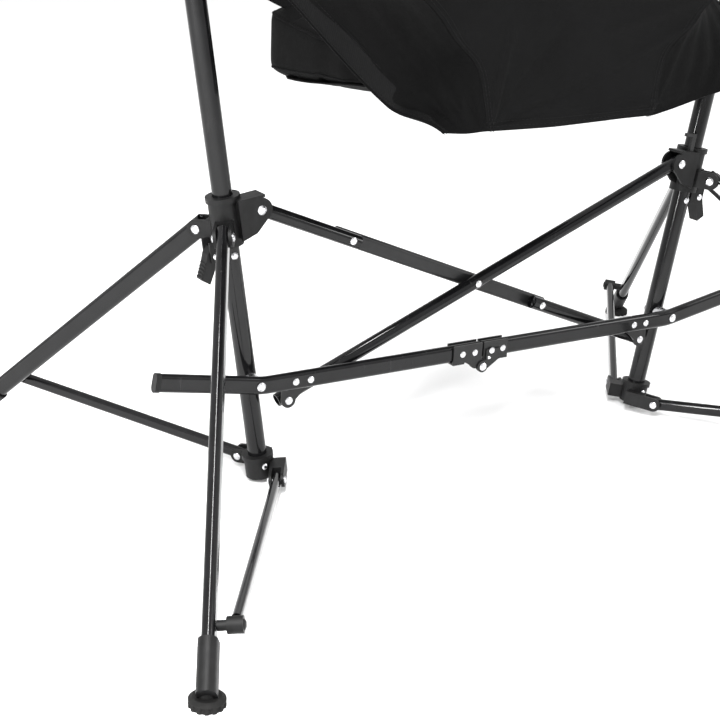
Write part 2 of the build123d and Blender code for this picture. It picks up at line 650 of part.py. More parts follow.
def make_back_panel():
    """The backrest: a tapering lower part and a straight part between the back tubes."""
    half = SIDE_X - SIDE_TUBE - 3
    y_0, z_0 = SEAT_REAR
    knee = (BACK_LOW[0] - 10, BACK_LOW[1] + 16)
    lower = sheet_between([(-SEAT_REAR_HALF, y_0, z_0), (SEAT_REAR_HALF, y_0, z_0),
                           (half, knee[0], knee[1]), (-half, knee[0], knee[1])], CLOTH)
    top = (BACK_HIGH[0] + 2, BACK_HIGH[1] - 8)
    upper = sheet_between([(-half, knee[0] + 1, knee[1] + 1), (half, knee[0] + 1, knee[1] + 1),
                           (half, top[0], top[1]), (-half, top[0], top[1])], CLOTH)
    return [lower, upper]


for side, name in SIDE_NAMES.items():
    nodes[f"{name}_post"] = make_post(side)
    nodes[f"{name}_hub"] = make_hub(side)
    nodes[f"{name}_pivot_head"] = make_pivot_head(side)
    nodes[f"{name}_post_fasteners"] = make_post_fasteners(side) + make_hub_pins(side)
    nodes[f"{name}_collar"] = make_collar(side)
    nodes[f"{name}_collar_pins"] = make_collar_pins(side)
    nodes[f"{name}_release_lever"] = make_lever(side)
    for leg in LEGS:
        tube, shoe, pad = make_leg(side, leg)
        nodes[f"{name}_{leg}_leg"] = tube
        nodes[f"{name}_{leg}_shoe"] = shoe
        nodes[f"{name}_{leg}_foot_pad"] = pad
        strut, tee = make_strut(side, leg)
        nodes[f"{name}_{leg}_strut"] = strut
        nodes[f"{name}_{leg}_tee"] = tee
    bar, cap = make_bar(side)
    nodes[f"{name}_crossbar"] = bar
    nodes[f"{name}_crossbar_cap"] = cap
    nodes[f"{name}_crossbar_brackets"] = make_brackets(side)
    nodes[f"{name}_crossbar_fasteners"] = make_bar_fasteners(side)
    nodes[f"{name}_arm_tube"] = make_arm(side)
    nodes[f"{name}_back_tube"] = make_back_tube(side)
    nodes[f"{name}_hanger"] = make_hanger(side)
    nodes[f"{name}_arm_pad"] = make_arm_pad(side)

nodes["collar_hook"] = make_hook()
nodes["left_brace"], nodes["left_brace_link"], nodes["left_brace_rivets"] = make_left_brace()
nodes["right_brace"], nodes["crossing_rivet"] = make_right_brace()
nodes["seat_cushion"] = make_seat_cushion()
nodes["side_wings"] = make_side_wings()
nodes["seat_straps"] = make_hem_straps() + make_front_straps()
nodes["back_panel"] = make_back_panel()

foot_ys = [leg_points(LEFT, leg)[1].Y for leg in LEGS]
FRAME_SHIFT = Pos(0, -sum(foot_ys) / 2, 0)

os.makedirs("parts", exist_ok=True)
for name, shape in nodes.items():
    solids = shape if isinstance(shape, list) else [shape]
    moved = [FRAME_SHIFT * solid for solid in solids]
    piece = moved[0] if len(moved) == 1 else Compound(children=moved)
    piece.label = name
    export_step(piece, f"parts/{name}.step")
print(len(nodes), "nodes, shifted by", round(-sum(foot_ys) / 2, 3))
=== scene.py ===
# %% [markdown]
# # A folding camp chair with a swinging seat
#
# The chair has two leaning posts with a folding frame at their feet, and a cloth seat that
# hangs from the tops of the posts. Its tubes, castings and rivets come ready measured in the
# frame; here they get their finishes, and the cloth parts are made as surfaces with numpy.

import bmesh
import bpy
import numpy as np
from mathutils import Matrix, Vector


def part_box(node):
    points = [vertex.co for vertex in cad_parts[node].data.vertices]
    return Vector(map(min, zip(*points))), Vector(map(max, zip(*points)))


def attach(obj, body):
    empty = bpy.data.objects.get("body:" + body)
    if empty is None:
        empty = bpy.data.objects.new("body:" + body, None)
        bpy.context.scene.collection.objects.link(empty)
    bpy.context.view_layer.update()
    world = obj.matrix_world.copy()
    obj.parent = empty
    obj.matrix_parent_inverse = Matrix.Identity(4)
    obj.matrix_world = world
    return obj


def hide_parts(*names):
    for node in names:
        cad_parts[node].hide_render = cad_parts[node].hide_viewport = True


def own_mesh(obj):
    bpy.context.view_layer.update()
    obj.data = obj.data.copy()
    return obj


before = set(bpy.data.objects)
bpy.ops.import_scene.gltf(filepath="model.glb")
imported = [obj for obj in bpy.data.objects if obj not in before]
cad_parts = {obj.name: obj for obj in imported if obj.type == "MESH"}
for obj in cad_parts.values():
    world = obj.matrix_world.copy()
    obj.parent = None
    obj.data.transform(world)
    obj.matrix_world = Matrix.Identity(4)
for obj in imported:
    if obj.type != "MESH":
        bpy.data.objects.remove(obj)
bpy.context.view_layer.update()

MM = 0.001

# %% [markdown]
# ## Camera
#
# A camera is a place, a direction and a lens. A long lens from a few steps away keeps the
# tubes nearly parallel, as in a catalogue picture. The view looks at the frame from behind
# and from the left, a little above the seat. The small shift slides the picture across the
# lens's image, as a view camera does, and leaves the tubes' directions alone.

# %% Make the camera
CAMERA_PLACE = np.array([-973.4, -1326.1, 704.7]) * MM
CAMERA_YAW, CAMERA_PITCH, CAMERA_ROLL = np.radians([28.144, 23.401, 1.245])
CAMERA_LENS = 71.87
CAMERA_SHIFT = (0.10, 0.12)
SENSOR_WIDTH = 36.0


def camera_matrix(place, yaw, pitch, roll):
    """Axes of a camera that faces yaw from +Y towards +X and pitch below the horizon,
    turned by roll about its own line of sight."""
    ahead = np.array([np.sin(yaw) * np.cos(pitch), np.cos(yaw) * np.cos(pitch), -np.sin(pitch)])
    level = np.array([np.cos(yaw), -np.sin(yaw), 0.0])
    upright = np.cross(level, ahead)
    across = level * np.cos(roll) + upright * np.sin(roll)
    upward = upright * np.cos(roll) - level * np.sin(roll)
    matrix = np.eye(4)
    matrix[:3, 0], matrix[:3, 1], matrix[:3, 2], matrix[:3, 3] = across, upward, -ahead, place
    return Matrix(matrix.tolist())


scene = bpy.context.scene
camera = bpy.data.objects.new("camera", bpy.data.cameras.new("camera"))
scene.collection.objects.link(camera)
camera.matrix_world = camera_matrix(CAMERA_PLACE, CAMERA_YAW, CAMERA_PITCH, CAMERA_ROLL)
camera.data.sensor_width = SENSOR_WIDTH
camera.data.lens = CAMERA_LENS
camera.data.shift_x, camera.data.shift_y = CAMERA_SHIFT
scene.camera = camera
print("camera", CAMERA_PLACE, "lens", CAMERA_LENS)

# %% [markdown]
# ## Light
#
# Dark round tubes show their shape by what they mirror. An even white room gives them their
# grey, and three long soft boxes draw the bright thin line that runs down each tube.

# %% Light the studio
ROOM_LIGHT = 1.0
SOFT_BOXES = {
    # name: place, aim, width, length, watts
    "overhead": ((-0.8, -0.9, 2.5), (0.0, 0.0, 0.4), 0.2, 2.6, 130.0),
    "left_strip": ((-2.6, -1.0, 1.4), (0.0, 0.0, 0.4), 0.12, 2.4, 85.0),
    "right_fill": ((2.4, -1.8, 1.9), (0.0, 0.0, 0.5), 0.6, 1.8, 30.0),
}


def soft_box(name, place, aim, width, length, watts):
    """A rectangular light at a place, turned so that it shines at its aim."""
    light = bpy.data.lights.new(name, "AREA")
    light.shape, light.size, light.size_y, light.energy = "RECTANGLE", width, length, watts
    lamp = bpy.data.objects.new(name, light)
    scene.collection.objects.link(lamp)
    lamp.location = place
    lamp.rotation_euler = (Vector(place) - Vector(aim)).to_track_quat("Z", "Y").to_euler()


for box_name, box in SOFT_BOXES.items():
    soft_box(box_name, *box)
world = bpy.data.worlds.new("white_room")
world.use_nodes = True
background = world.node_tree.nodes["Background"]
background.inputs["Color"].default_value = (1.0, 1.0, 1.0, 1.0)
background.inputs["Strength"].default_value = ROOM_LIGHT
scene.world = world
scene.view_settings.view_transform = "Standard"
print("soft boxes", list(SOFT_BOXES))

# %% [markdown]
# ## Tools for materials
#
# Every finish here is a small tree of nodes round one Principled shader. One helper starts
# such a material, and another adds a node: its inputs are either numbers, or sockets of
# other nodes to link. Patterns read Object coordinates in metres, so a scale of 1000 is a
# detail about a millimetre across.

# %% Helpers that build materials
def start_material(name, **settings):
    """A new material whose Principled shader has the given values on its own sockets."""
    material = bpy.data.materials.new(name)
    material.use_nodes = True
    shader = material.node_tree.nodes["Principled BSDF"]
    for socket, value in settings.items():
        shader.inputs[socket.replace("_", " ")].default_value = value
    return material, material.node_tree, shader


def add_node(tree, kind, inputs=(), **properties):
    """A node of a kind, with properties set, and each input linked to a socket or given a value."""
    node = tree.nodes.new("ShaderNode" + kind)
    for key, value in properties.items():
        setattr(node, key, value)
    for key, value in dict(inputs).items():
        if isinstance(value, bpy.types.NodeSocket):
            tree.links.new(value, node.inputs[key])
        else:
            node.inputs[key].default_value = value
    return node


def grey(value, tint=0.0):
    """A colour of one lightness, a touch cooler where tint is above 0."""
    return (value, value, value * (1.0 + tint), 1.0)


def ramp(tree, factor, stops):
    """A colour ramp over a factor, from stops of (position, lightness, coolness)."""
    node = add_node(tree, "ValToRGB", {"Fac": factor})
    elements = node.color_ramp.elements
    while len(elements) < len(stops):
        elements.new(0.5)
    for element, (position, lightness, tint) in zip(elements, stops):
        element.position, element.color = position, grey(lightness, tint)
    return node.outputs["Color"]


def spread(tree, factor, low, high):
    """A factor from 0 to 1 stretched to run from low to high."""
    node = add_node(tree, "MapRange", {"Value": factor, "To Min": low, "To Max": high})
    return node.outputs["Result"]


def mix(tree, factor, first, second):
    """The first colour, going over to the second as the factor rises."""
    node = add_node(tree, "MixRGB", {"Fac": factor, "Color1": first, "Color2": second})
    return node.outputs["Color"]


def combine(tree, operation, first, second):
    """Two numbers put together by an operation of arithmetic."""
    return add_node(tree, "Math", {0: first, 1: second}, operation=operation).outputs["Value"]


def object_places(tree):
    """Object coordinates, in metres."""
    return add_node(tree, "TexCoord").outputs["Object"]


def noise(tree, scale, detail=3.0, roughness=0.55, stretch=(1.0, 1.0, 1.0)):
    """Cloudy noise on Object coordinates, stretched along an axis where its scale is small."""
    placed = add_node(tree, "Mapping", {"Vector": object_places(tree), "Scale": stretch})
    node = add_node(tree, "TexNoise", {"Vector": placed.outputs["Vector"], "Scale": scale,
                                       "Detail": detail, "Roughness": roughness})
    return node.outputs["Fac"]


def bump(tree, shader, height, strength, distance, under=None):
    """A bump from a height, laid over another bump where one is given."""
    inputs = {"Height": height, "Strength": strength, "Distance": distance}
    if under is not None:
        inputs["Normal"] = under
    node = add_node(tree, "Bump", inputs)
    tree.links.new(node.outputs["Normal"], shader.inputs["Normal"])
    return node.outputs["Normal"]


def coat(tree, shader, colour, gloss, smoothest, roughest):
    """Links a colour, and a factor spread between the smoothest and the roughest gloss."""
    tree.links.new(colour, shader.inputs["Base Color"])
    tree.links.new(spread(tree, gloss, smoothest, roughest), shader.inputs["Roughness"])


print("material helpers ready")

# %% [markdown]
# ## Floor
#
# A studio floor is a smooth painted sheet. A wide flat grid is enough, and a faint cloud in
# its paint keeps it from looking like empty space.

# %% Make the floor
FLOOR_HALF = 14.0
FLOOR_POINTS = 9


def floor_material():
    """Matt off-white paint with a very faint cloud."""
    material, tree, shader = start_material("studio_floor", Roughness=0.9, Specular_IOR_Level=0.1)
    tree.links.new(ramp(tree, noise(tree, 1.5), [(0.0, 0.86, 0.0), (1.0, 0.9, 0.0)]),
                   shader.inputs["Base Color"])
    return material


def floor_grid(half, count):
    """Flat square grid of points at ground height."""
    steps = np.linspace(-half, half, count)
    x, y = np.meshgrid(steps, steps, indexing="ij")
    return np.stack([x, y, np.zeros_like(x)], axis=-1)


# %% [markdown]
# ## Tools for surfaces
#
# A cloth part is a grid of points: two parameters run over it, and a formula gives the place
# of each point. Neighbouring points make a four-sided face. Because the grid knows how long
# its rows and columns are, it also knows where each thread of the cloth would lie, so it
# writes that as a UV map in metres, and the weave follows the cloth wherever it bends.

# %% Grid surfaces
CRISP_ANGLE = np.radians(50.0)


def grid_quads(rows, columns, wrap):
    """Corners of every quad, as row and column numbers that may run one past the end of a
    wrapped grid."""
    i, j = np.meshgrid(np.arange(rows - 1), np.arange(columns if wrap else columns - 1),
                       indexing="ij")
    i, j = i.ravel(), j.ravel()
    return np.stack([i, i, i + 1, i + 1], axis=1), np.stack([j, j + 1, j + 1, j], axis=1)


def lengths_along(points, wrap):
    """Mean distance run so far down the rows and across the columns, in metres."""
    down = np.linalg.norm(np.diff(points, axis=0), axis=-1).mean(axis=1)
    round_once = np.concatenate([points, points[:, :1]], axis=1) if wrap else points
    across = np.linalg.norm(np.diff(round_once, axis=1), axis=-1).mean(axis=0)
    return (np.concatenate([[0.0], np.cumsum(down)]), np.concatenate([[0.0], np.cumsum(across)]))


def new_mesh_piece(name, points, faces, uv_corners, material):
    """An object at the origin from point places, faces and one UV pair for each face corner."""
    mesh = bpy.data.meshes.new(name)
    mesh.from_pydata(points.tolist(), [], faces)
    layer = mesh.uv_layers.new(name="thread")
    layer.data.foreach_set("uv", np.asarray(uv_corners, np.float32).ravel())
    mesh.polygons.foreach_set("use_smooth", np.ones(len(mesh.polygons), bool))
    mesh.materials.append(material)
    piece = bpy.data.objects.new(name, mesh)
    scene.collection.objects.link(piece)
    return piece


def surface(name, points, material, wrap=False, closed=False, thick=0.0):
    """A piece from a grid of points. Wrap joins the last column to the first, closed fills
    both ends with a fan to their middle, and thick gives a sheet that thickness."""
    rows, columns = points.shape[:2]
    i, j = grid_quads(rows, columns, wrap)
    faces = (i * columns + j % columns).tolist()
    down, across = lengths_along(points, wrap)
    uv = np.stack([across[j], down[i]], axis=-1).reshape(-1, 2)
    places = points.reshape(-1, 3)
    if closed:
        step = np.arange(columns)
        ends = [(0, down[0]), (rows - 1, down[-1])]
        for number, (row, run) in enumerate(ends):
            places = np.concatenate([places, points[row].mean(axis=0)[None]])
            middle = np.full(columns, rows * columns + number)
            fan = np.stack([row * columns + step, row * columns + (step + 1) % columns, middle], 1)
            faces += (fan if number else fan[:, ::-1]).tolist()
            uv = np.concatenate([uv, np.tile([0.0, run], (3 * columns, 1))])
    piece = new_mesh_piece(name, places, faces, uv, material)
    if wrap:
        face_outwards(piece)
    if thick:
        wall = piece.modifiers.new("thickness", "SOLIDIFY")
        wall.thickness, wall.offset = thick, 0.0
        piece.modifiers.new("crisp_edges", "EDGE_SPLIT").split_angle = CRISP_ANGLE
    return piece


def face_outwards(piece):
    """Merges points in one place and turns every face of a closed shape outwards."""
    shell = bmesh.new()
    shell.from_mesh(piece.data)
    bmesh.ops.remove_doubles(shell, verts=shell.verts, dist=1e-6)
    bmesh.ops.recalc_face_normals(shell, faces=shell.faces)
    shell.to_mesh(piece.data)
    shell.free()


floor = surface("studio_floor", floor_grid(FLOOR_HALF, FLOOR_POINTS), floor_material())
print("floor", 2 * FLOOR_HALF, "m wide")

# %% [markdown]
# ## Paths and profiles
#
# Straps, cords and seams follow a path: a row of points in space. A section, or profile, is
# carried along the path to make a solid strip.

# %% Helpers for paths and profiles
def unit(vectors):
    """Each vector divided by its length."""
    return vectors / np.maximum(np.linalg.norm(vectors, axis=-1, keepdims=True), 1e-12)


def run_lengths(path):
    """Distance run along a path at each of its points."""
    return np.concatenate([[0.0], np.cumsum(np.linalg.norm(np.diff(path, axis=0), axis=1))])


def path_length(path):
    """The whole length of a path in metres, to a millimetre."""
    return round(float(run_lengths(path)[-1]), 3)


def evenly(path, count):
    """The same path with a number of points, equal distances apart."""
    path = np.asarray(path, float)
    run = run_lengths(path)
    where = np.linspace(0.0, run[-1], count)
    return np.stack([np.interp(where, run, path[:, axis]) for axis in range(3)], axis=1)


def flowing(points, count):
    """A smooth path through points: each stretch is the cubic that leaves one point and meets
    the next in the direction of the line between their neighbours (Catmull and Rom's)."""
    points = np.asarray(points, float)
    padded = np.concatenate([2 * points[:1] - points[1:2], points,
                             2 * points[-1:] - points[-2:-1]])
    where = np.linspace(0.0, len(points) - 1, 24 * len(points))
    start = np.minimum(where.astype(int), len(points) - 2)
    t = (where - start)[:, None]
    a, b, c, d = (padded[start + step] for step in range(4))
    curve = 0.5 * (2 * b + (c - a) * t + (2 * a - 5 * b + 4 * c - d) * t ** 2
                   + (3 * b - 3 * c + d - a) * t ** 3)
    return evenly(curve, count)


def carry(path, profile, across):
    """A profile carried along a path. Point (i, j) is path point i plus profile point j laid
    out along the across direction and along the direction square to it and to the path."""
    ahead = unit(np.gradient(path, axis=0))
    across = np.broadcast_to(across, path.shape)
    across = unit(across - (across * ahead).sum(axis=1, keepdims=True) * ahead)
    over = np.cross(ahead, across)
    profile = np.broadcast_to(profile, (len(path),) + profile.shape[-2:])
    return (path[:, None] + profile[..., :1] * across[:, None] + profile[..., 1:] * over[:, None])


def full_turn(count):
    """Angles of equal steps once round a circle."""
    return np.linspace(0.0, 2 * np.pi, count, endpoint=False)


def spokes(turn, across, over):
    """Arrows at the given turns from one direction towards another that is square to it."""
    return np.cos(turn)[:, None] * across[..., None, :] + np.sin(turn)[:, None] * over[..., None, :]


def squared(values, power):
    """Values from -1 to 1 pressed towards their ends by a power below 1, with their sign kept."""
    return np.sign(values) * np.abs(values) ** power


def ring(radius, count):
    """A circle as a profile."""
    return radius * np.stack([np.cos(full_turn(count)), np.sin(full_turn(count))], axis=1)


def strap_profile(width, thick, count=28):
    """A flat strap's section: a squarish oval whose corners are round and whose two faces are
    flat, from powers of the cosine and sine of one turn."""
    turn = full_turn(count)
    flat, tall = squared(np.cos(turn), 0.35), squared(np.sin(turn), 0.55)
    return np.stack([flat * width / 2, tall * thick / 2], axis=1)


def grid_normals(points):
    """The direction square to the surface at each point of a grid."""
    return unit(np.cross(np.gradient(points, axis=1), np.gradient(points, axis=0)))


print("path helpers ready")

# %% [markdown]
# ## Finishes of the hard parts
#
# The tubes are thin-walled and sprayed with a smooth graphite paint, baked hard: it is nearly
# black, glossy enough to draw a thin line of light, and slightly dimpled like the skin of an
# orange. Three layers make it: a cloudy colour, dimples in the bump, and small rubs where
# folding has polished or scratched the paint.

# %% Graphite paint for the tubes
DIMPLE_SCALE = 520.0
SCRATCH_STRETCH = (1.0, 1.0, 0.08)
tube_paint, tree, shader = start_material(
    "graphite_tube_paint", Coat_Weight=0.22, Coat_Roughness=0.04, Specular_IOR_Level=0.15)
cloud = noise(tree, 38.0)
rubs = noise(tree, 260.0, detail=4.0, stretch=SCRATCH_STRETCH)
worn = ramp(tree, rubs, [(0.66, 0.0, 0.0), (0.8, 1.0, 0.0)])
paint = ramp(tree, cloud, [(0.3, 0.003, 0.06), (0.7, 0.006, 0.08)])
coat(tree, shader, mix(tree, worn, paint, grey(0.02, 0.02)), rubs, 0.07, 0.22)
peel = bump(tree, shader, noise(tree, DIMPLE_SCALE, detail=1.0), 0.07, 0.0003)
bump(tree, shader, rubs, 0.06, 0.0003, under=peel)
print("made", tube_paint.name)

# %% [markdown]
# The brackets are pressed from flat steel and the hangers cut from plate. Their paint is the
# same black but satin, with a broader ripple from the pressing and pale steel showing at the
# small knocks.

# %% Satin paint for pressed brackets
bracket_paint, tree, shader = start_material(
    "satin_bracket_paint", Coat_Weight=0.15, Coat_Roughness=0.25, Specular_IOR_Level=0.25)
knocks = ramp(tree, noise(tree, 190.0, detail=5.0, roughness=0.7),
              [(0.7, 0.0, 0.0), (0.76, 1.0, 0.0)])
paint = ramp(tree, noise(tree, 60.0), [(0.3, 0.004, 0.04), (0.75, 0.008, 0.05)])
coat(tree, shader, mix(tree, knocks, paint, grey(0.04)), noise(tree, 90.0), 0.32, 0.5)
ripple = bump(tree, shader, noise(tree, 45.0, detail=1.0), 0.2, 0.0012)
bump(tree, shader, noise(tree, 900.0, detail=2.0), 0.12, 0.0002, under=ripple)
print("made", bracket_paint.name)

# %% [markdown]
# Collars, hubs, shoes, tees and caps are moulded from glass-filled nylon. Its mould was
# eroded by sparks, which leaves an even fine grain: a cell pattern under a fine noise. The
# glass fibre greys the surface in faint streaks where the plastic flowed.

# %% Moulded nylon
nylon, tree, shader = start_material("moulded_nylon", Specular_IOR_Level=0.22)
streaks = noise(tree, 120.0, detail=4.0, stretch=(1.0, 1.0, 0.25))
colour = ramp(tree, streaks, [(0.35, 0.003, 0.0), (0.7, 0.006, 0.05)])
coat(tree, shader, colour, noise(tree, 70.0), 0.4, 0.62)
cells = add_node(tree, "TexVoronoi", {"Vector": object_places(tree), "Scale": 1500.0})
grain = bump(tree, shader, cells.outputs["Distance"], 0.22, 0.0002)
bump(tree, shader, streaks, 0.05, 0.0005, under=grain)
print("made", nylon.name)

# %% [markdown]
# Rivets, pins and screws are bright zinc-plated steel. Setting them leaves fine scuffs, so
# their gloss is uneven. They are the only light spots on the chair.

# %% Bright rivet steel
rivet_steel, tree, shader = start_material("bright_rivet_steel", Metallic=1.0)
cloud = noise(tree, 210.0, detail=4.0)
colour = ramp(tree, cloud, [(0.3, 0.5, 0.02), (0.7, 0.8, 0.03)])
coat(tree, shader, colour, cloud, 0.16, 0.36)
bump(tree, shader, noise(tree, 1300.0, detail=2.0), 0.15, 0.00015)
print("made", rivet_steel.name)

# %% [markdown]
# The feet are black rubber. Rubber picks up dust, so its grey is uneven and it hardly
# shines; the dust lies thicker near the ground.

# %% Foot rubber
rubber, tree, shader = start_material("foot_rubber", Specular_IOR_Level=0.15)
height = add_node(tree, "SeparateXYZ", {"Vector": object_places(tree)}).outputs["Z"]
low = add_node(tree, "MapRange", {"Value": height, "From Min": 0.02, "From Max": 0.0,
                                  "To Min": 0.0, "To Max": 0.5}).outputs["Result"]
dust = combine(tree, "MULTIPLY", low, noise(tree, 160.0, detail=5.0))
colour = mix(tree, dust, grey(0.005), (0.03, 0.029, 0.027, 1.0))
coat(tree, shader, colour, noise(tree, 120.0), 0.62, 0.85)
bump(tree, shader, noise(tree, 620.0, detail=3.0), 0.3, 0.0005)
print("made", rubber.name)

# %% [markdown]
# ## Giving the hard parts their finishes
#
# The measured parts stay as they are. Only the material in their slots changes, chosen from
# the last words of each part's name.

# %% Assign the hard finishes
FINISH_BY_ENDING = {
    "post": tube_paint, "leg": tube_paint, "strut": tube_paint, "crossbar": tube_paint,
    "brace": tube_paint, "arm_tube": tube_paint, "back_tube": tube_paint,
    "hub": nylon, "collar": nylon, "release_lever": nylon, "shoe": nylon, "tee": nylon,
    "crossbar_cap": nylon, "pivot_head": nylon,
    "crossbar_brackets": bracket_paint, "hanger": bracket_paint, "collar_hook": bracket_paint,
    "left_brace_link": bracket_paint,
    "fasteners": rivet_steel, "pins": rivet_steel, "rivets": rivet_steel,
    "crossing_rivet": rivet_steel, "foot_pad": rubber,
}
for node_name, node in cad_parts.items():
    fitting = [ending for ending in FINISH_BY_ENDING if node_name.endswith(ending)]
    if not fitting:
        continue
    finish = FINISH_BY_ENDING[max(fitting, key=len)]
    if not node.material_slots:
        node.data.materials.append(finish)
    for slot in node.material_slots:
        slot.material = finish
print("finished", sum(bool(n.material_slots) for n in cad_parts.values()), "hard parts")

# %% [markdown]
# ## Finishes of the cloth
#
# The seat is a heavy plain-woven polyester. A plain weave is a chessboard of crossings: on
# one square the lengthwise thread is on top, on the next the crosswise one. So a checker
# chooses between two rows of rounded threads, and that height drives the bump and darkens the
# low places between threads as painted shade. The pattern reads the thread map, so it follows
# each panel.

# %% Woven cloth
THREAD = 0.0009


def thread_map(tree, scale, turn=0.0):
    """The cloth's own map in metres, scaled and turned in its plane."""
    layer = add_node(tree, "UVMap", uv_map="thread").outputs["UV"]
    return add_node(tree, "Mapping", {"Vector": layer, "Scale": (scale,) * 3,
                                      "Rotation": (0.0, 0.0, turn)}).outputs["Vector"]


def thread_rows(tree, vector, direction):
    """Rounded threads side by side, one to each unit of the map."""
    halved = add_node(tree, "Mapping", {"Vector": vector, "Scale": (np.pi / 10,) * 3})
    return add_node(tree, "TexWave", {"Vector": halved.outputs["Vector"], "Scale": 1.0},
                    bands_direction=direction, wave_profile="SIN").outputs["Fac"]


def cloth_material(name, dark, light, sheen):
    """Plain weave: a checker picks the upper thread, whose height bumps the surface and darkens
    the low places between threads as painted shade; slow clouds and faint slubs vary the colour."""
    material, tree, shader = start_material(name, Specular_IOR_Level=0.07, Sheen_Weight=sheen,
                                            Sheen_Roughness=0.45)
    vector = thread_map(tree, 1.0 / THREAD)
    checker = add_node(tree, "TexChecker", {"Vector": vector, "Scale": 1.0,
                                            "Color1": grey(0.0), "Color2": grey(1.0)})
    weave = mix(tree, checker.outputs["Fac"], thread_rows(tree, vector, "X"),
                thread_rows(tree, vector, "Y"))
    slubs = noise(tree, 210.0, detail=4.0, roughness=0.6)
    colour = ramp(tree, noise(tree, 14.0), [(0.3, dark, 0.03), (0.7, light, 0.05)])
    # Painted shade: where the threads lie low the colour goes over to grey(dark * 0.35).
    painted_gap_shade = spread(tree, combine(tree, "MULTIPLY", weave, slubs), 0.75, 0.0)
    coat(tree, shader, mix(tree, painted_gap_shade, colour, grey(dark * 0.35)), slubs, 0.68, 0.88)
    cockle = bump(tree, shader, noise(tree, 55.0, detail=3.0), 0.16, 0.0016)
    bump(tree, shader, weave, 0.35, 0.00018, under=cockle)
    return material


sling_cloth = cloth_material("sling_cloth", 0.003, 0.0055, 0.018)
# Painted shade: the wing cloth is the sling's weave made darker, because the wings face away from
# the light; the hem pipings, back sleeves and arm grips use it too.
wing_shade_cloth = cloth_material("wing_shade_cloth", 0.0016, 0.003, 0.008)
# Painted shadow: the seat pad's cloth is the same weave made darker still, for the shadow that
# falls on the pad under the wings and arms; the seat base and the pad's pipings use it too.
pad_shadow_cloth = cloth_material("seat_pad_shadow_cloth", 0.0009, 0.0018, 0.004)
print("made", sling_cloth.name, wing_shade_cloth.name, pad_shadow_cloth.name)

# %% [markdown]
# Webbing is a narrow woven tape with slanting ribs. A row of thick slanted threads, added to
# a finer straight one, makes them; their height also darkens the grooves between ribs as painted
# shade. Sewing thread is the same black, twisted.

# %% Webbing and thread
RIB = 0.0021
webbing, tree, shader = start_material(
    "black_webbing", Specular_IOR_Level=0.08, Sheen_Weight=0.01, Sheen_Roughness=0.4)
ribs = thread_rows(tree, thread_map(tree, 1.0 / RIB, turn=np.pi / 5), "X")
fine = thread_rows(tree, thread_map(tree, 2.6 / RIB), "Y")
height = combine(tree, "ADD", ribs, fine)
# Painted shade: the tape's colour follows the rib height, darker in the grooves between ribs.
colour = ramp(tree, height, [(0.0, 0.0012, 0.0), (1.0, 0.0042, 0.04)])
coat(tree, shader, colour, noise(tree, 300.0), 0.55, 0.75)
bump(tree, shader, height, 0.4, 0.00035)
sewing_thread, tree, shader = start_material(
    "sewing_thread", Sheen_Weight=0.01, Specular_IOR_Level=0.08)
twist = noise(tree, 2400.0, detail=1.0)
coat(tree, shader, ramp(tree, twist, [(0.3, 0.003, 0.0), (0.7, 0.007, 0.03)]), twist, 0.4, 0.6)
bump(tree, shader, twist, 0.3, 0.0002)
print("made", webbing.name, sewing_thread.name)

# %% [markdown]
# ## Riding on the chair
#
# All cloth hangs from the two swinging side frames. When the chair folds, its sides close
# together and the cloth between them crumples. So each cloth piece rides on the side frame
# that it is sewn to. The back is made in two halves that meet at the middle, and their inner
# edges slide past each other like a fold.

# %% How cloth parts ride
SIDES = {"left": -1.0, "right": 1.0}
tube_low, tube_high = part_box("left_back_tube")
SIDE_X = -(tube_low[0] + tube_high[0]) / 2


def hang_on_seat(piece, side):
    """The piece rides on one side frame."""
    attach(piece, side + "_swing_body")
    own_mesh(piece)
    return piece


print("side frames at x", -SIDE_X, SIDE_X)

# %% [markdown]
# ## Measures of the seat
#
# The cloth is described by a few lines in the air: the back tubes, the arm tubes, the rear
# corners of the seat, and the seams between panels. Their points are in millimetres.

# %% Lines the cloth hangs on
post_low, post_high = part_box("left_post")
POSTS_Y = (post_low[1] + post_high[1]) / 2


def place(x, y, z):
    """A point, or a grid of them, from millimetres, with y counted from the posts' plane."""
    return np.stack(np.broadcast_arrays(x * MM, y * MM + POSTS_Y, z * MM), axis=-1)


def places(points):
    """Several such points as an array."""
    return np.array([place(*point) for point in points])


def arm_height(y):
    """Height in mm of an arm tube's middle line at y mm before the posts."""
    return np.interp(y, [-182.0, 200.0], [671.5, 655.0])


def back_tube_y(z):
    """The y of a back tube's middle line at a height z, in mm."""
    return -160.0 - 0.4004 * (np.asarray(z) - 590.0)


SEAM = [(103.0, -158.0, 421.0), (121.0, -158.0, 484.0), (151.0, -158.5, 514.0),
        (179.0, -159.5, 544.0), (238.0, -165.0, 590.0), (314.0, -179.0, 652.0)]
WING_FOOT = {"left": (158.0, -161.0, 424.0), "right": (232.0, -163.0, 450.0)}
ARM_EDGE_Y = (-176.0, 140.0)
ARM_EDGE_DROP = 17.0
print("posts stand at y", POSTS_Y)

# %% [markdown]
# ## Folds
#
# Cloth pulled from its corners doesn't wrinkle at random. Each fold is a low ridge along a
# straight line that starts at a corner in tension and dies away. A ridge is a bell curve of
# the distance from its line, times a fade along the line, and the folds of a panel are their
# sum.

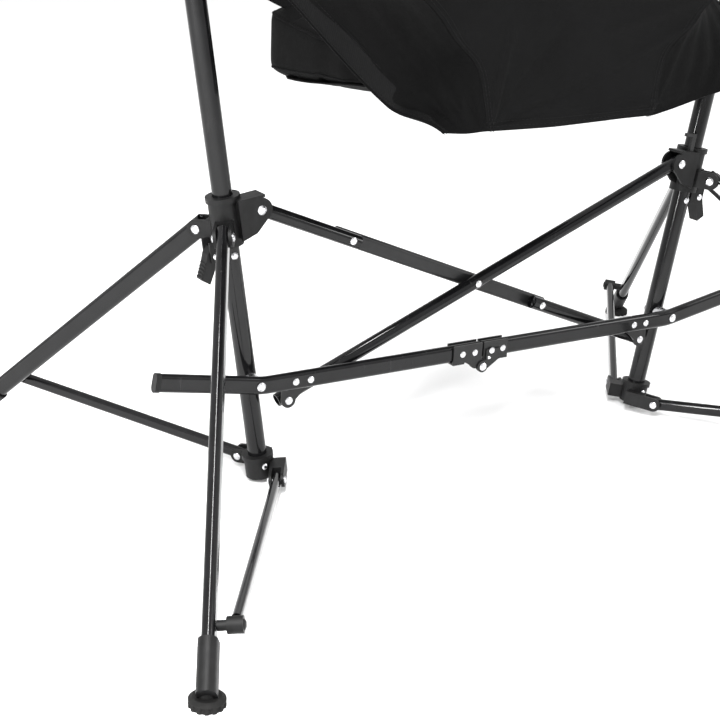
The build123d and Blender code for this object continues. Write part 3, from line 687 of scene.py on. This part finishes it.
# %% Ridges and flare
def ridges(x, z, folds):
    """Sum of ridges at x, z in mm. Each fold (x0, z0, x1, z1, width, height) adds its height
    times a bell curve of the distance from the line, faded towards both ends."""
    total = np.zeros_like(x)
    for x0, z0, x1, z1, width, height in folds:
        length = np.hypot(x1 - x0, z1 - z0)
        ahead = ((x - x0) * (x1 - x0) + (z - z0) * (z1 - z0)) / length ** 2
        aside = ((x - x0) * (z1 - z0) - (z - z0) * (x1 - x0)) / length
        fade = np.clip(np.minimum(ahead + 0.08, 1.15 - ahead) * 5.0, 0.0, 1.0)
        spread_width = width * (0.45 + 0.75 * np.clip(ahead, 0.0, 1.0))
        total += height * fade * fade * (3 - 2 * fade) * np.exp(-(aside / spread_width) ** 2)
    return total


def smooth_step(values):
    """0 below 0, 1 above 1, and an S between."""
    t = np.clip(values, 0.0, 1.0)
    return t * t * (3 - 2 * t)


BOTTOM_FOLDS = [
    # from x, z, to x, z, width, height
    (-98, 423, 40, 430, 4.0, 1.6), (-96, 426, 96, 442, 4.5, -1.7),
    (-60, 427, 130, 450, 4.0, 1.9), (20, 436, 200, 462, 4.5, -1.8),
    (60, 434, 230, 452, 3.5, 1.7), (-94, 430, 10, 470, 6.0, 1.8),
    (-90, 440, -20, 520, 8.0, -1.6), (-99, 428, -84, 520, 5.0, 2.4),
    (-112, 430, -140, 520, 7.0, -2.2), (-108, 426, -128, 480, 4.0, 2.0),
    (-126, 426, -162, 500, 6.0, 1.8), (30, 512, 220, 560, 10.0, 1.6),
    (-80, 560, 60, 500, 12.0, 1.5), (110, 430, 210, 446, 3.5, -1.5),
    (98, 428, 150, 500, 6.0, 1.6),
]
FLARE_LINE_X = [-104.0, -4.0, 81.0, 181.0, 260.0]
FLARE_LINE_Z = [431.0, 455.0, 489.0, 528.0, 556.0]
FLARE = 11.0
REAR_EDGE_Z = 421.0
REAR_EDGE_LIFT = 4.0


def cloth_relief(x, z):
    """How far the rear cloth stands out to the rear, in mm: the ridges, plus a skirt that
    slopes out below the slanting fold line, from nothing at the line to FLARE at the edge."""
    line = np.interp(x, FLARE_LINE_X, FLARE_LINE_Z)
    share = (line - z) / np.maximum(line - REAR_EDGE_Z, 1.0)
    skirt = FLARE * smooth_step(share) * smooth_step((x + 104.0) / 90.0)
    crease = 1.6 * np.exp(-((z - line) / 5.0) ** 2) * smooth_step((x + 90.0) / 60.0)
    return ridges(x, z, BOTTOM_FOLDS) + skirt + crease


print("deepest relief", FLARE, "mm plus folds")

# %% [markdown]
# ## Back sling
#
# The back is one long sheet stretched between the back tubes. Below the arms it tapers in
# to the rear edge of the seat. Each row of its grid runs from one side edge to the other at
# one height; its middle bellies a little to the rear, and the folds are added at the foot.

# %% Make the back sling
SLING_TOP = 1036.0
SLING_ROWS, SLING_COLUMNS = 260, 191
SLING_BELLY = 16.0
CLOTH_THICK = 1.6 * MM


def seam_half_width(z):
    """Half the sling's width at height z in mm: along the seams, then the back tubes."""
    seam = flowing(SEAM, 200)
    return np.interp(z, np.append(seam[:, 2], SLING_TOP), np.append(seam[:, 0], 317.0))


def seam_y(z):
    """The y of the sling's side edge at height z."""
    seam = flowing(SEAM, 200)
    return np.where(z < 652.0, np.interp(z, seam[:, 2], seam[:, 1]), back_tube_y(z) + 8.0
                    - 2.2 * smooth_step((z - 652.0) / 80.0))


def back_sling_points():
    """Grid of the sling: row by row, x runs across the half width and z rises from the rear
    edge to the top; y follows the side edges, less a parabola for the belly."""
    rise = np.linspace(0.0, 1.0, SLING_ROWS)
    z = REAR_EDGE_Z + (SLING_TOP - REAR_EDGE_Z) * (0.62 * rise + 0.38 * rise ** 2)
    across = np.linspace(-1.0, 1.0, SLING_COLUMNS)
    x = seam_half_width(z)[:, None] * across
    near_edge = np.exp(-((z - REAR_EDGE_Z) / 14.0) ** 2)[:, None]
    tall = z[:, None] + REAR_EDGE_LIFT * smooth_step((x + 106.0) / 212.0) * near_edge
    belly = SLING_BELLY * (1 - across ** 2) * smooth_step((z - 450.0) / 240.0)[:, None]
    y = seam_y(z)[:, None] - belly - cloth_relief(x, tall) * smooth_step((640.0 - tall) / 60.0)
    return place(x, y, tall)


sling_grid = back_sling_points()
SLING_MIDDLE = SLING_COLUMNS // 2
sling_halves = {"left": sling_grid[:, :SLING_MIDDLE + 1], "right": sling_grid[:, SLING_MIDDLE:]}
for side, half in sling_halves.items():
    piece = surface(f"back_sling_{side}", half, sling_cloth, thick=CLOTH_THICK)
    hang_on_seat(piece, side)
    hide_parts("back_panel")

# %% [markdown]
# ## Side wings
#
# A wing closes each side between the back, the arm and the corner of the seat. It has four
# edges: the seam with the back, the arm tube, the taut front hem, and a short piece of the
# seat's rear edge. A surface between four curves is Coons's patch: blend the two side curves
# into each other, blend the top and bottom curves, add both, and take away the blend of the
# four corners that was counted twice.

# %% Make the side wings
WING_ROWS, WING_COLUMNS = 150, 120
HEM_BOW = {"left": (-19.0, 30.5, -28.7), "right": (38.0, -8.0, -6.0)}


def coons_patch(bottom, top, left, right):
    """Patch between four curves. Bottom and top run from left to right, left and right run
    from bottom to top; the two blends of facing edges are added, less that of the corners."""
    u = np.linspace(0.0, 1.0, len(bottom))[None, :, None]
    v = np.linspace(0.0, 1.0, len(left))[:, None, None]
    between_sides = (1 - u) * left[:, None] + u * right[:, None]
    between_ends = (1 - v) * bottom[None] + v * top[None]
    corners = ((1 - u) * (1 - v) * bottom[0] + u * (1 - v) * bottom[-1]
               + (1 - u) * v * top[0] + u * v * top[-1])
    return between_sides + between_ends - corners


def wing_edges(side):
    """The four edges of a wing, as curves in metres. The hem is a straight line plus a bow
    (outwards, forwards, up) that is full at a fifth of its length."""
    sign = SIDES[side]
    seam = places([(sign * x, y, z) for x, y, z in SEAM])
    seam[0, 2] += REAR_EDGE_LIFT * MM * smooth_step(sign)
    foot = place(sign * WING_FOOT[side][0], *WING_FOOT[side][1:])
    arm_y = np.linspace(*ARM_EDGE_Y, 12)
    arm = places([(sign * (SIDE_X / MM - 4.0), y, arm_height(y) - ARM_EDGE_DROP) for y in arm_y])
    arm[0] = seam[-1]
    middle = (seam[0] + foot) / 2 + np.array([0.0, -0.0015, -0.0012])
    hem = evenly([foot, arm[-1]], WING_ROWS)
    share = np.linspace(0.0, 1.0, WING_ROWS)
    bow = smooth_step(share / 0.2) * (1 - smooth_step((share - 0.2) / 0.5))
    hem = hem + bow[:, None] * np.array(HEM_BOW[side]) * [sign * MM, MM, MM]
    return (flowing([seam[0], middle, foot], WING_COLUMNS), flowing(arm, WING_COLUMNS),
            flowing(seam, WING_ROWS), hem)


def wing_points(side):
    """Coons patch of the wing's edges, drawn in a little at its middle because taut cloth
    makes a saddle, with fans of folds that start at the foot."""
    grid = coons_patch(*wing_edges(side))
    rows, columns = grid.shape[:2]
    v, u = np.meshgrid(np.linspace(0, 1, rows), np.linspace(0, 1, columns), indexing="ij")
    hollow = 0.010 * np.sin(np.pi * u) * np.sin(np.pi * v)
    fan = np.sin(9.0 * np.pi * u + 2.5 * v) * np.exp(-v / 0.28) * np.sin(np.pi * u) * 0.0019
    fan = fan * smooth_step(v / 0.12)
    normals = grid_normals(grid)
    outward = np.sign((normals * np.array([SIDES[side], -0.4, 0.0])).sum(axis=-1, keepdims=True))
    grid = grid + normals * outward * (fan - hollow)[..., None]
    rear = cloth_relief(grid[..., 0] / MM, grid[..., 2] / MM) * MM
    near_back = smooth_step(1.0 - u * 1.6) * smooth_step((0.60 - grid[..., 2]) / 0.08)
    grid[..., 1] -= rear * near_back
    return grid


wing_grids = {side: wing_points(side) for side in SIDES}
for side, grid in wing_grids.items():
    wing = surface(f"side_wing_{side}", grid, wing_shade_cloth, thick=CLOTH_THICK)
    hang_on_seat(wing, side)
    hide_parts("side_wings")

# %% [markdown]
# ## Hem bands
#
# The front edge of each wing is bound with a broad tape, folded over and piped along both
# edges. It carries load from the arm to the corner of the seat, so it lies flat along the
# wing's edge. The tape is a flat oval carried along that edge, and each piping a thin cord.

# %% Make the hem bands
BAND_WIDTH = 30.0 * MM
BAND_THICK = 2.6 * MM
PIPING_RADIUS = 1.7 * MM
BAND_POINTS = 130


def band_frame(side):
    """Middle line of a hem band, the direction across it within the wing, and its half width,
    which draws in over the last stretch before the seat's corner."""
    edge = wing_grids[side][:, -1]
    inner = wing_grids[side][:, -14]
    path = evenly(edge, BAND_POINTS)
    ahead = unit(np.gradient(path, axis=0))
    across = unit(evenly(inner, BAND_POINTS) - path)
    across = unit(across - (across * ahead).sum(axis=1, keepdims=True) * ahead)
    share = np.linspace(0.0, 1.0, BAND_POINTS)
    half = BAND_WIDTH / 2 * (0.16 + 0.84 * smooth_step(share / 0.2))
    return path + across * (half - 1.0 * MM)[:, None], across, half


def hem_band(side):
    """The tape and its two pipings."""
    path, across, half = band_frame(side)
    widths = np.stack([half, np.ones_like(half)], axis=1)[:, None]
    profile = strap_profile(2.0, BAND_THICK)[None] * widths
    tape = surface(f"hem_band_{side}", carry(path, profile, across), webbing, wrap=True,
                   closed=True)
    hang_on_seat(tape, side)
    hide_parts("seat_straps")
    for edge_name, sign in (("inner", 1.0), ("outer", -1.0)):
        line = path + across * (sign * (half - 0.4 * MM))[:, None]
        cord = surface(f"hem_piping_{side}_{edge_name}",
                       carry(line, ring(PIPING_RADIUS, 10), across), wing_shade_cloth, wrap=True,
                       closed=True)
        hang_on_seat(cord, side)
    return tape


for side in SIDES:
    print(hem_band(side).name, BAND_WIDTH, "m wide")

# %% [markdown]
# ## Seat pad
#
# The seat is a foam pad in a sewn cover, narrow at the back and deep at the front. Its
# start is a soft-cornered block: a profile from the middle of the bottom to the middle of
# the top, swept round the outline, both squared off by powers of sine and cosine. Then the
# cloth solver blows the cover up slightly, as foam does, so that it crowns between its
# edges. The swelling is capped, and the sewn channels are pressed in afterwards.

# %% Make the seat pad
PAD_REAR, PAD_FRONT = -150.0, 237.0
PAD_BOTTOM, PAD_RISE = 427.0, 17.0
PAD_TOP = (465.0, 508.0)
PLAN_POWER, SIDE_POWER, RIM_POWER = 2 / 16, 2 / 12, 2 / 10
PAD_VOXEL = 6.0 * MM
PAD_CAP = 6.0 * MM
CHANNELS_Y = (-62.0, 18.0, 98.0, 170.0)


def pad_half_width(y):
    """Half the pad's width in mm at y: it widens from the rear corners to the arms' width."""
    return np.interp(y, [PAD_REAR, 40.0, PAD_FRONT], [98.0, 167.0, 168.0])


def pad_floor(x_share, y):
    """Height of the pad's underside: its side edges are drawn up where the hem bands pull."""
    return PAD_BOTTOM + PAD_RISE * x_share ** 2 * np.exp(-((y - 5.0) / 105.0) ** 2)


def pad_places(turn, power, out, level):
    """Places at a turn of the squared plan, at a share out from its middle and at a level
    from 0 at the pad's bottom to 1 at its top."""
    plan_x, plan_y = squared(np.cos(turn), power) * out, squared(np.sin(turn), power) * out
    y = (PAD_REAR + PAD_FRONT) / 2 + plan_y * (PAD_FRONT - PAD_REAR) / 2
    low = pad_floor(plan_x, y)
    high = np.interp(y, [PAD_REAR, PAD_FRONT], PAD_TOP)
    return place(plan_x * pad_half_width(y), y, low + (high - low) * level)


def pad_block():
    """Grid of the block: rows climb the squared profile, columns go round the squared plan."""
    climb = np.linspace(0.0, np.pi, 60)[:, None]
    out = np.abs(np.sin(climb)) ** SIDE_POWER
    level = -squared(np.cos(climb), SIDE_POWER)
    return pad_places(full_turn(160)[None], PLAN_POWER, out, (level + 1) / 2)


def vertex_places(mesh):
    """All points of a mesh as an array."""
    flat = np.empty(len(mesh.vertices) * 3)
    mesh.vertices.foreach_get("co", flat)
    return flat.reshape(-1, 3)


def swell(piece, voxel, cap, pressure=4.0, steps=20):
    """Remeshes a closed piece evenly and lets the cloth solver press it out. Each point moves
    at most the cap: far moves are eased towards it by a hyperbolic tangent."""
    remesh = piece.modifiers.new("even_mesh", "REMESH")
    remesh.mode, remesh.voxel_size, remesh.use_smooth_shade = "VOXEL", voxel, True
    even = bpy.data.meshes.new_from_object(piece.evaluated_get(
        bpy.context.evaluated_depsgraph_get()))
    piece.modifiers.clear()
    piece.data = even
    before = vertex_places(even)
    cloth = piece.modifiers.new("cloth", "CLOTH")
    cloth.settings.use_pressure = True
    cloth.settings.uniform_pressure_force = pressure
    cloth.settings.effector_weights.gravity = 0.0
    for step in range(1, steps + 1):
        scene.frame_set(step)
    solved = piece.evaluated_get(bpy.context.evaluated_depsgraph_get()).to_mesh()
    move = vertex_places(solved) - before
    piece.modifiers.clear()
    scene.frame_set(1)
    move -= move.mean(axis=0)
    far = np.maximum(np.linalg.norm(move, axis=1, keepdims=True), 1e-9)
    even.vertices.foreach_set("co", (before + move * np.tanh(far / cap) * cap / far).ravel())
    even.update()


def give_thread_map(mesh):
    """Writes the cloth map of a remeshed piece: seen from the axis each face looks along most,
    so that the weave is square on top, front and sides."""
    places_now = vertex_places(mesh)
    corner = np.empty(len(mesh.loops), int)
    mesh.loops.foreach_get("vertex_index", corner)
    normal = np.empty(len(mesh.polygons) * 3)
    mesh.polygons.foreach_get("normal", normal)
    sizes = np.empty(len(mesh.polygons), int)
    mesh.polygons.foreach_get("loop_total", sizes)
    main = np.repeat(np.abs(normal.reshape(-1, 3)).argmax(axis=1), sizes)
    first, second = np.array([1, 0, 0])[main], np.array([2, 2, 1])[main]
    at = places_now[corner]
    index = np.arange(len(corner))
    layer = mesh.uv_layers.get("thread") or mesh.uv_layers.new(name="thread")
    layer.data.foreach_set("uv", np.stack([at[index, first], at[index, second]], 1).ravel())


def cover(piece, cloth):
    """Gives a swollen piece its thread map and its cloth, and smooths it by one subdivision."""
    give_thread_map(piece.data)
    piece.data.materials.clear()
    piece.data.materials.append(cloth)
    smoothing = piece.modifiers.new("smooth", "SUBSURF")
    smoothing.levels = smoothing.render_levels = 1


def press_channels(mesh, channels_y, depth, width):
    """Presses sewn lines into the top and bottom: each point sinks by a bell curve of its
    distance from the nearest line, times how squarely it faces up or down."""
    at = vertex_places(mesh)
    normal = np.empty(len(at) * 3)
    mesh.vertices.foreach_get("normal", normal)
    normal = normal.reshape(-1, 3)
    away = np.abs(at[:, 1:2] - (np.array(channels_y) * MM + POSTS_Y)).min(axis=1)
    sink = depth * np.exp(-(away / width) ** 2) * smooth_step(np.abs(normal[:, 2]) * 2 - 1)
    at[:, 2] -= np.sign(normal[:, 2]) * sink
    mesh.vertices.foreach_set("co", at.ravel())
    mesh.update()


seat_pad = surface("seat_pad", pad_block(), pad_shadow_cloth, wrap=True)
swell(seat_pad, PAD_VOXEL, PAD_CAP)
press_channels(seat_pad.data, CHANNELS_Y, 5.0 * MM, 6.0 * MM)
cover(seat_pad, pad_shadow_cloth)
hang_on_seat(seat_pad, "left")
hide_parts("seat_cushion")
print("seat pad", len(seat_pad.data.polygons), "faces before subdivision")

# %% [markdown]
# ## Seat base and pipings
#
# Under the pad lies the carrying cloth, which is sewn to the sling's rear edge. The pad's
# cover has a piped seam round its top and bottom edges. Both follow the same formulas as
# the pad, so they stay with it.

# %% Make the base and the pad's piping
PIPE_RADIUS = 1.5 * MM


def base_points():
    """Grid under the pad: rows go forward and columns across, at the height of the pad's
    underside, less a little slack in the middle."""
    y = np.linspace(-157.0, 216.0, 90)[:, None]
    share = np.linspace(-1.0, 1.0, 70)[None]
    trim = np.interp(y, [-157.0, -120.0, 180.0, 216.0], [5.0, -8.0, -10.0, -26.0])
    x = share * (pad_half_width(y) + trim)
    rear = smooth_step((-100.0 - y) / 57.0)
    z = pad_floor(share, y) - 1.6 - 1.5 * (1 - share ** 2) - rear * 2.6
    return place(x, y, z)


def pad_rim(level):
    """The outline of the pad at a level, with rounder corners."""
    return pad_places(np.linspace(0.0, 2 * np.pi, 2400), RIM_POWER, 1.0, level)


def laid_on_pad(path):
    """The path moved onto the pad: each point goes to the nearest point of its surface."""
    solved = seat_pad.evaluated_get(bpy.context.evaluated_depsgraph_get())
    return np.array([solved.closest_point_on_mesh(point)[1] for point in path.tolist()])


base_grid = base_points()
base = surface("seat_base", base_grid, pad_shadow_cloth, thick=CLOTH_THICK)
hang_on_seat(base, "left")
for rim_name, level in (("top", 0.9), ("bottom", 0.08)):
    rim = laid_on_pad(evenly(pad_rim(level), 240)[:-1])
    rim_grid = carry(np.concatenate([rim, rim[:1]]), ring(PIPE_RADIUS, 8),
                     np.array([0.0, 0.0, 1.0]))
    piping = surface(f"pad_piping_{rim_name}", rim_grid, pad_shadow_cloth, wrap=True, closed=True)
    hang_on_seat(piping, "left")

# %% [markdown]
# ## Front straps
#
# A webbing strap hangs each front corner of the seat from the end of its arm tube. It is
# sewn to the pad's top, runs up, goes once round the tube and comes back on itself. The
# strap is one flat oval carried along that path.

# %% Make the front straps
LOOP_RADIUS = 11.6
LOOP_CENTRE = (209.5, 616.0)
STRAP_PROFILE = strap_profile(28.0 * MM, 1.9 * MM)


def strap_path(sign):
    """From the pad's top up to the tube, round it by a turn, and down beside itself."""
    turn = np.radians(np.linspace(105.0, -105.0, 16))
    loop_x = SIDE_X / MM + LOOP_RADIUS * np.cos(turn)
    loop_y = LOOP_CENTRE[0] + LOOP_RADIUS * np.sin(turn)
    loop = [(sign * x, y, LOOP_CENTRE[1]) for x, y in zip(loop_x, loop_y)]
    up = [(sign * 96.0, 206.0, 511.5), (sign * 128.0, 207.0, 513.5),
          (sign * 158.0, 209.0, 523.0), (sign * 235.0, 211.5, 566.0), (sign * 300.0, 212.0, 603.0)]
    down = [(sign * 300.0, 208.0, 601.0), (sign * 262.0, 208.6, 572.0)]
    return flowing(places(up + loop + down), 190)


for side, sign in SIDES.items():
    path = strap_path(sign)
    lean = np.array([-sign * 0.55, 0.0, 0.84])
    strap = surface(f"front_strap_{side}", carry(path, STRAP_PROFILE, lean), webbing, wrap=True,
                    closed=True)
    hang_on_seat(strap, side)
    print(strap.name, "length", path_length(path))

# %% [markdown]
# ## Sleeves and arm pads
#
# The sling's edges are sewn into sleeves that slip over the back tubes and close at the top.
# Each arm has two foam grips in a cloth sleeve. These hug a rigid tube, so they ride on
# their own side frame and keep their shape when the chair folds. A sleeve is a profile of
# radius against height, turned round the tube; a grip is an oval that thins at its ends,
# then swells like the seat pad.

# %% Make the sleeves and grips
SLEEVE_FOOT_Z = 700.0
SLEEVE_HEAD_Z = 1056.0


def sleeve_points(sign):
    """Rings round the back tube: a turned-in lip at the foot, a rolled hem, a straight run
    and a dome at the top."""
    share = np.array([0.03, 0.0, -0.004, 0.0, 0.012, 0.03, 0.045, 0.5, 0.9, 0.955, 0.985, 1.0])
    radius = np.array([9.7, 9.8, 11.4, 13.0, 13.4, 13.0, 12.3, 12.1, 12.1, 11.6, 8.0, 0.4])
    fine = np.linspace(0.0, 1.0, 90)
    steps = np.linspace(0.0, 1.0, len(share))
    share, radius = np.interp(fine, steps, share), np.interp(fine, steps, radius)
    z = SLEEVE_FOOT_Z + (SLEEVE_HEAD_Z - SLEEVE_FOOT_Z) * share
    middle = place(sign * SIDE_X / MM, back_tube_y(z), z)
    along = unit(middle[-1] - middle[0])
    across = np.array([1.0, 0.0, 0.0])
    over = np.cross(along, across)
    turn = full_turn(40)
    pucker = 1.0 + 0.012 * np.sin(7 * turn)[None] * np.sin(23.0 * share)[:, None]
    spoke = spokes(turn, across, over)
    return middle[:, None] + (radius[:, None] * pucker)[..., None] * MM * spoke[None]


def grip_points(sign, y_0, y_1):
    """Ovals along the arm tube: full in the middle, drawn in to the tube at both ends."""
    share = np.linspace(0.0, 1.0, 46)
    full = np.clip(1 - np.abs(2 * share - 1) ** 9, 0.0, 1.0) ** 0.5
    y = y_0 + (y_1 - y_0) * share
    turn = full_turn(44)
    wide = (10.2 + 3.0 * full)[:, None] * np.cos(turn)
    tall = (10.2 + 6.0 * full)[:, None] * np.sin(turn)
    return place(sign * SIDE_X / MM + wide, y[:, None], arm_height(y)[:, None] - 1.5 + tall)


GRIPS = {"rear": (-164.0, -76.0), "front": (76.0, 159.0)}
for side, sign in SIDES.items():
    sleeve = surface(f"back_sleeve_{side}", sleeve_points(sign), wing_shade_cloth, wrap=True,
                     closed=True)
    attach(sleeve, side + "_swing_body")
    for grip_name, (y_0, y_1) in GRIPS.items():
        grip = surface(f"arm_grip_{side}_{grip_name}", grip_points(sign, y_0, y_1), wing_shade_cloth,
                       wrap=True, closed=True)
        swell(grip, 4.0 * MM, 1.6 * MM)
        cover(grip, wing_shade_cloth)
        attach(grip, side + "_swing_body")
        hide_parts(side + "_arm_pad")
print("sleeves and grips made")

# %% [markdown]
# ## Plugs
#
# Open tube ends are closed with nylon plugs: a short stopper with a domed flange. The
# profile of radius against distance is turned round the tube's axis.

# %% Make the plugs
def plug_points(end, ahead, radius):
    """Rings round an axis: a stopper inside the tube, a flange proud of it and a low dome."""
    along = np.array([-9.0, -8.0, 0.1, 0.2, 1.4, 2.4, 3.0, 3.2])
    wide = np.array([0.5, 0.80, 0.84, 1.04, 1.06, 0.95, 0.6, 0.02])
    ahead = unit(np.asarray(ahead, float))
    across = unit(np.cross(ahead, [0.3, 0.9, 0.1]))
    spoke = spokes(full_turn(32), across, np.cross(ahead, across))
    rings = np.asarray(end) + along[:, None] * MM * ahead
    return rings[:, None] + (wide * radius)[:, None, None] * spoke[None]


TUBE_RADIUS = 9.5 * MM
for side, sign in SIDES.items():
    x = sign * SIDE_X / MM
    ends = {"arm_plug": ((x, 214.0, 592.0), (0.0, 14.0, -63.0)),
            "back_plug": ((x, -160.0, 590.0), (0.0, 185.0, -462.0))}
    for plug_name, (end, ahead) in ends.items():
        plug = surface(f"{plug_name}_{side}", plug_points(place(*end), ahead, TUBE_RADIUS), nylon,
                       wrap=True)
        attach(plug, side + "_swing_body")
print("plugs made")

# %% [markdown]
# ## Stitching
#
# Seams are drawn by their stitches: short thick dashes of thread a few millimetres apart.
# Each stitch is a tiny capsule. All stitches of one seam are computed at once, by adding the
# capsule's rings to every stitch's place, and a side's seams become one piece.

# %% Sew the seams
STITCH_PITCH, STITCH_LENGTH, STITCH_RADIUS = 4.2 * MM, 3.0 * MM, 0.34 * MM
CAPSULE_ALONG = np.array([-0.5, -0.34, 0.34, 0.5])
CAPSULE_WIDE = np.array([0.25, 1.0, 1.0, 0.25])


def stitch_rings(path):
    """Capsules along a path: each has four rings of five points. Shape: stitch, ring, point,
    axis."""
    count = max(2, int(run_lengths(path)[-1] / STITCH_PITCH))
    middle = evenly(path, count)
    ahead = unit(np.gradient(middle, axis=0))
    across = unit(np.cross(ahead, np.array([0.31, 0.42, 0.85])))
    spoke = spokes(full_turn(5), across, np.cross(ahead, across))
    centres = middle[:, None] + CAPSULE_ALONG[:, None] * STITCH_LENGTH * ahead[:, None]
    return centres[:, :, None] + CAPSULE_WIDE[:, None, None] * STITCH_RADIUS * spoke[:, None]


def sew(name, paths, side):
    """One piece with the stitches of several seams."""
    rings_of = np.concatenate([stitch_rings(path) for path in paths])
    count, ring_count, sides = rings_of.shape[:3]
    i, j = grid_quads(ring_count, sides, True)
    one = i * sides + j % sides
    first = np.arange(count)[:, None] * ring_count * sides
    quads = (one[None] + first[..., None]).reshape(-1, 4)
    cap = np.arange(sides)[None] + first
    faces = quads.tolist() + cap[:, ::-1].tolist() + (cap + (ring_count - 1) * sides).tolist()
    corners = 4 * len(quads) + 2 * sides * count
    piece = new_mesh_piece(name, rings_of.reshape(-1, 3), faces, np.zeros((corners, 2)),
                           sewing_thread)
    face_outwards(piece)
    return hang_on_seat(piece, side)


def beside(grid, column, lift, rear_sign):
    """A column of a grid, lifted off the cloth along its normal to the given side."""
    normals = grid_normals(grid)[:, column]
    facing = np.sign((normals * np.array([0.0, -1.0, 0.001])).sum(axis=-1, keepdims=True))
    return grid[:, column] + normals * facing * rear_sign * lift


STITCH_LIFT = CLOTH_THICK / 2 + 0.15 * MM
for side, sign in SIDES.items():
    edge_columns = (3, 6) if sign < 0 else (-4, -7)
    back_rows = [beside(sling_grid, column, STITCH_LIFT, face)
                 for column in edge_columns for face in (1.0, -1.0)]
    half = sling_halves[side]
    hem_rows = [half[row] + np.array([0.0, -STITCH_LIFT * face, 0.0])
                for row in (-4, -8) for face in (1.0, -1.0)]
    hem_rows += [half[row] + np.array([0.0, -STITCH_LIFT, 0.0]) for row in (3, 6)]
    path, across, half_width = band_frame(side)
    over = np.cross(unit(np.gradient(path, axis=0)), across)
    band_rows = [path + across * (edge * (half_width - 4.0 * MM))[:, None]
                 + over * face * (BAND_THICK / 2 + 0.1 * MM)
                 for edge in (-1.0, 1.0) for face in (-1.0, 1.0)]
    sewn = sew(f"stitching_{side}", back_rows + hem_rows + band_rows, side)
    print(sewn.name, len(sewn.data.polygons), "faces")
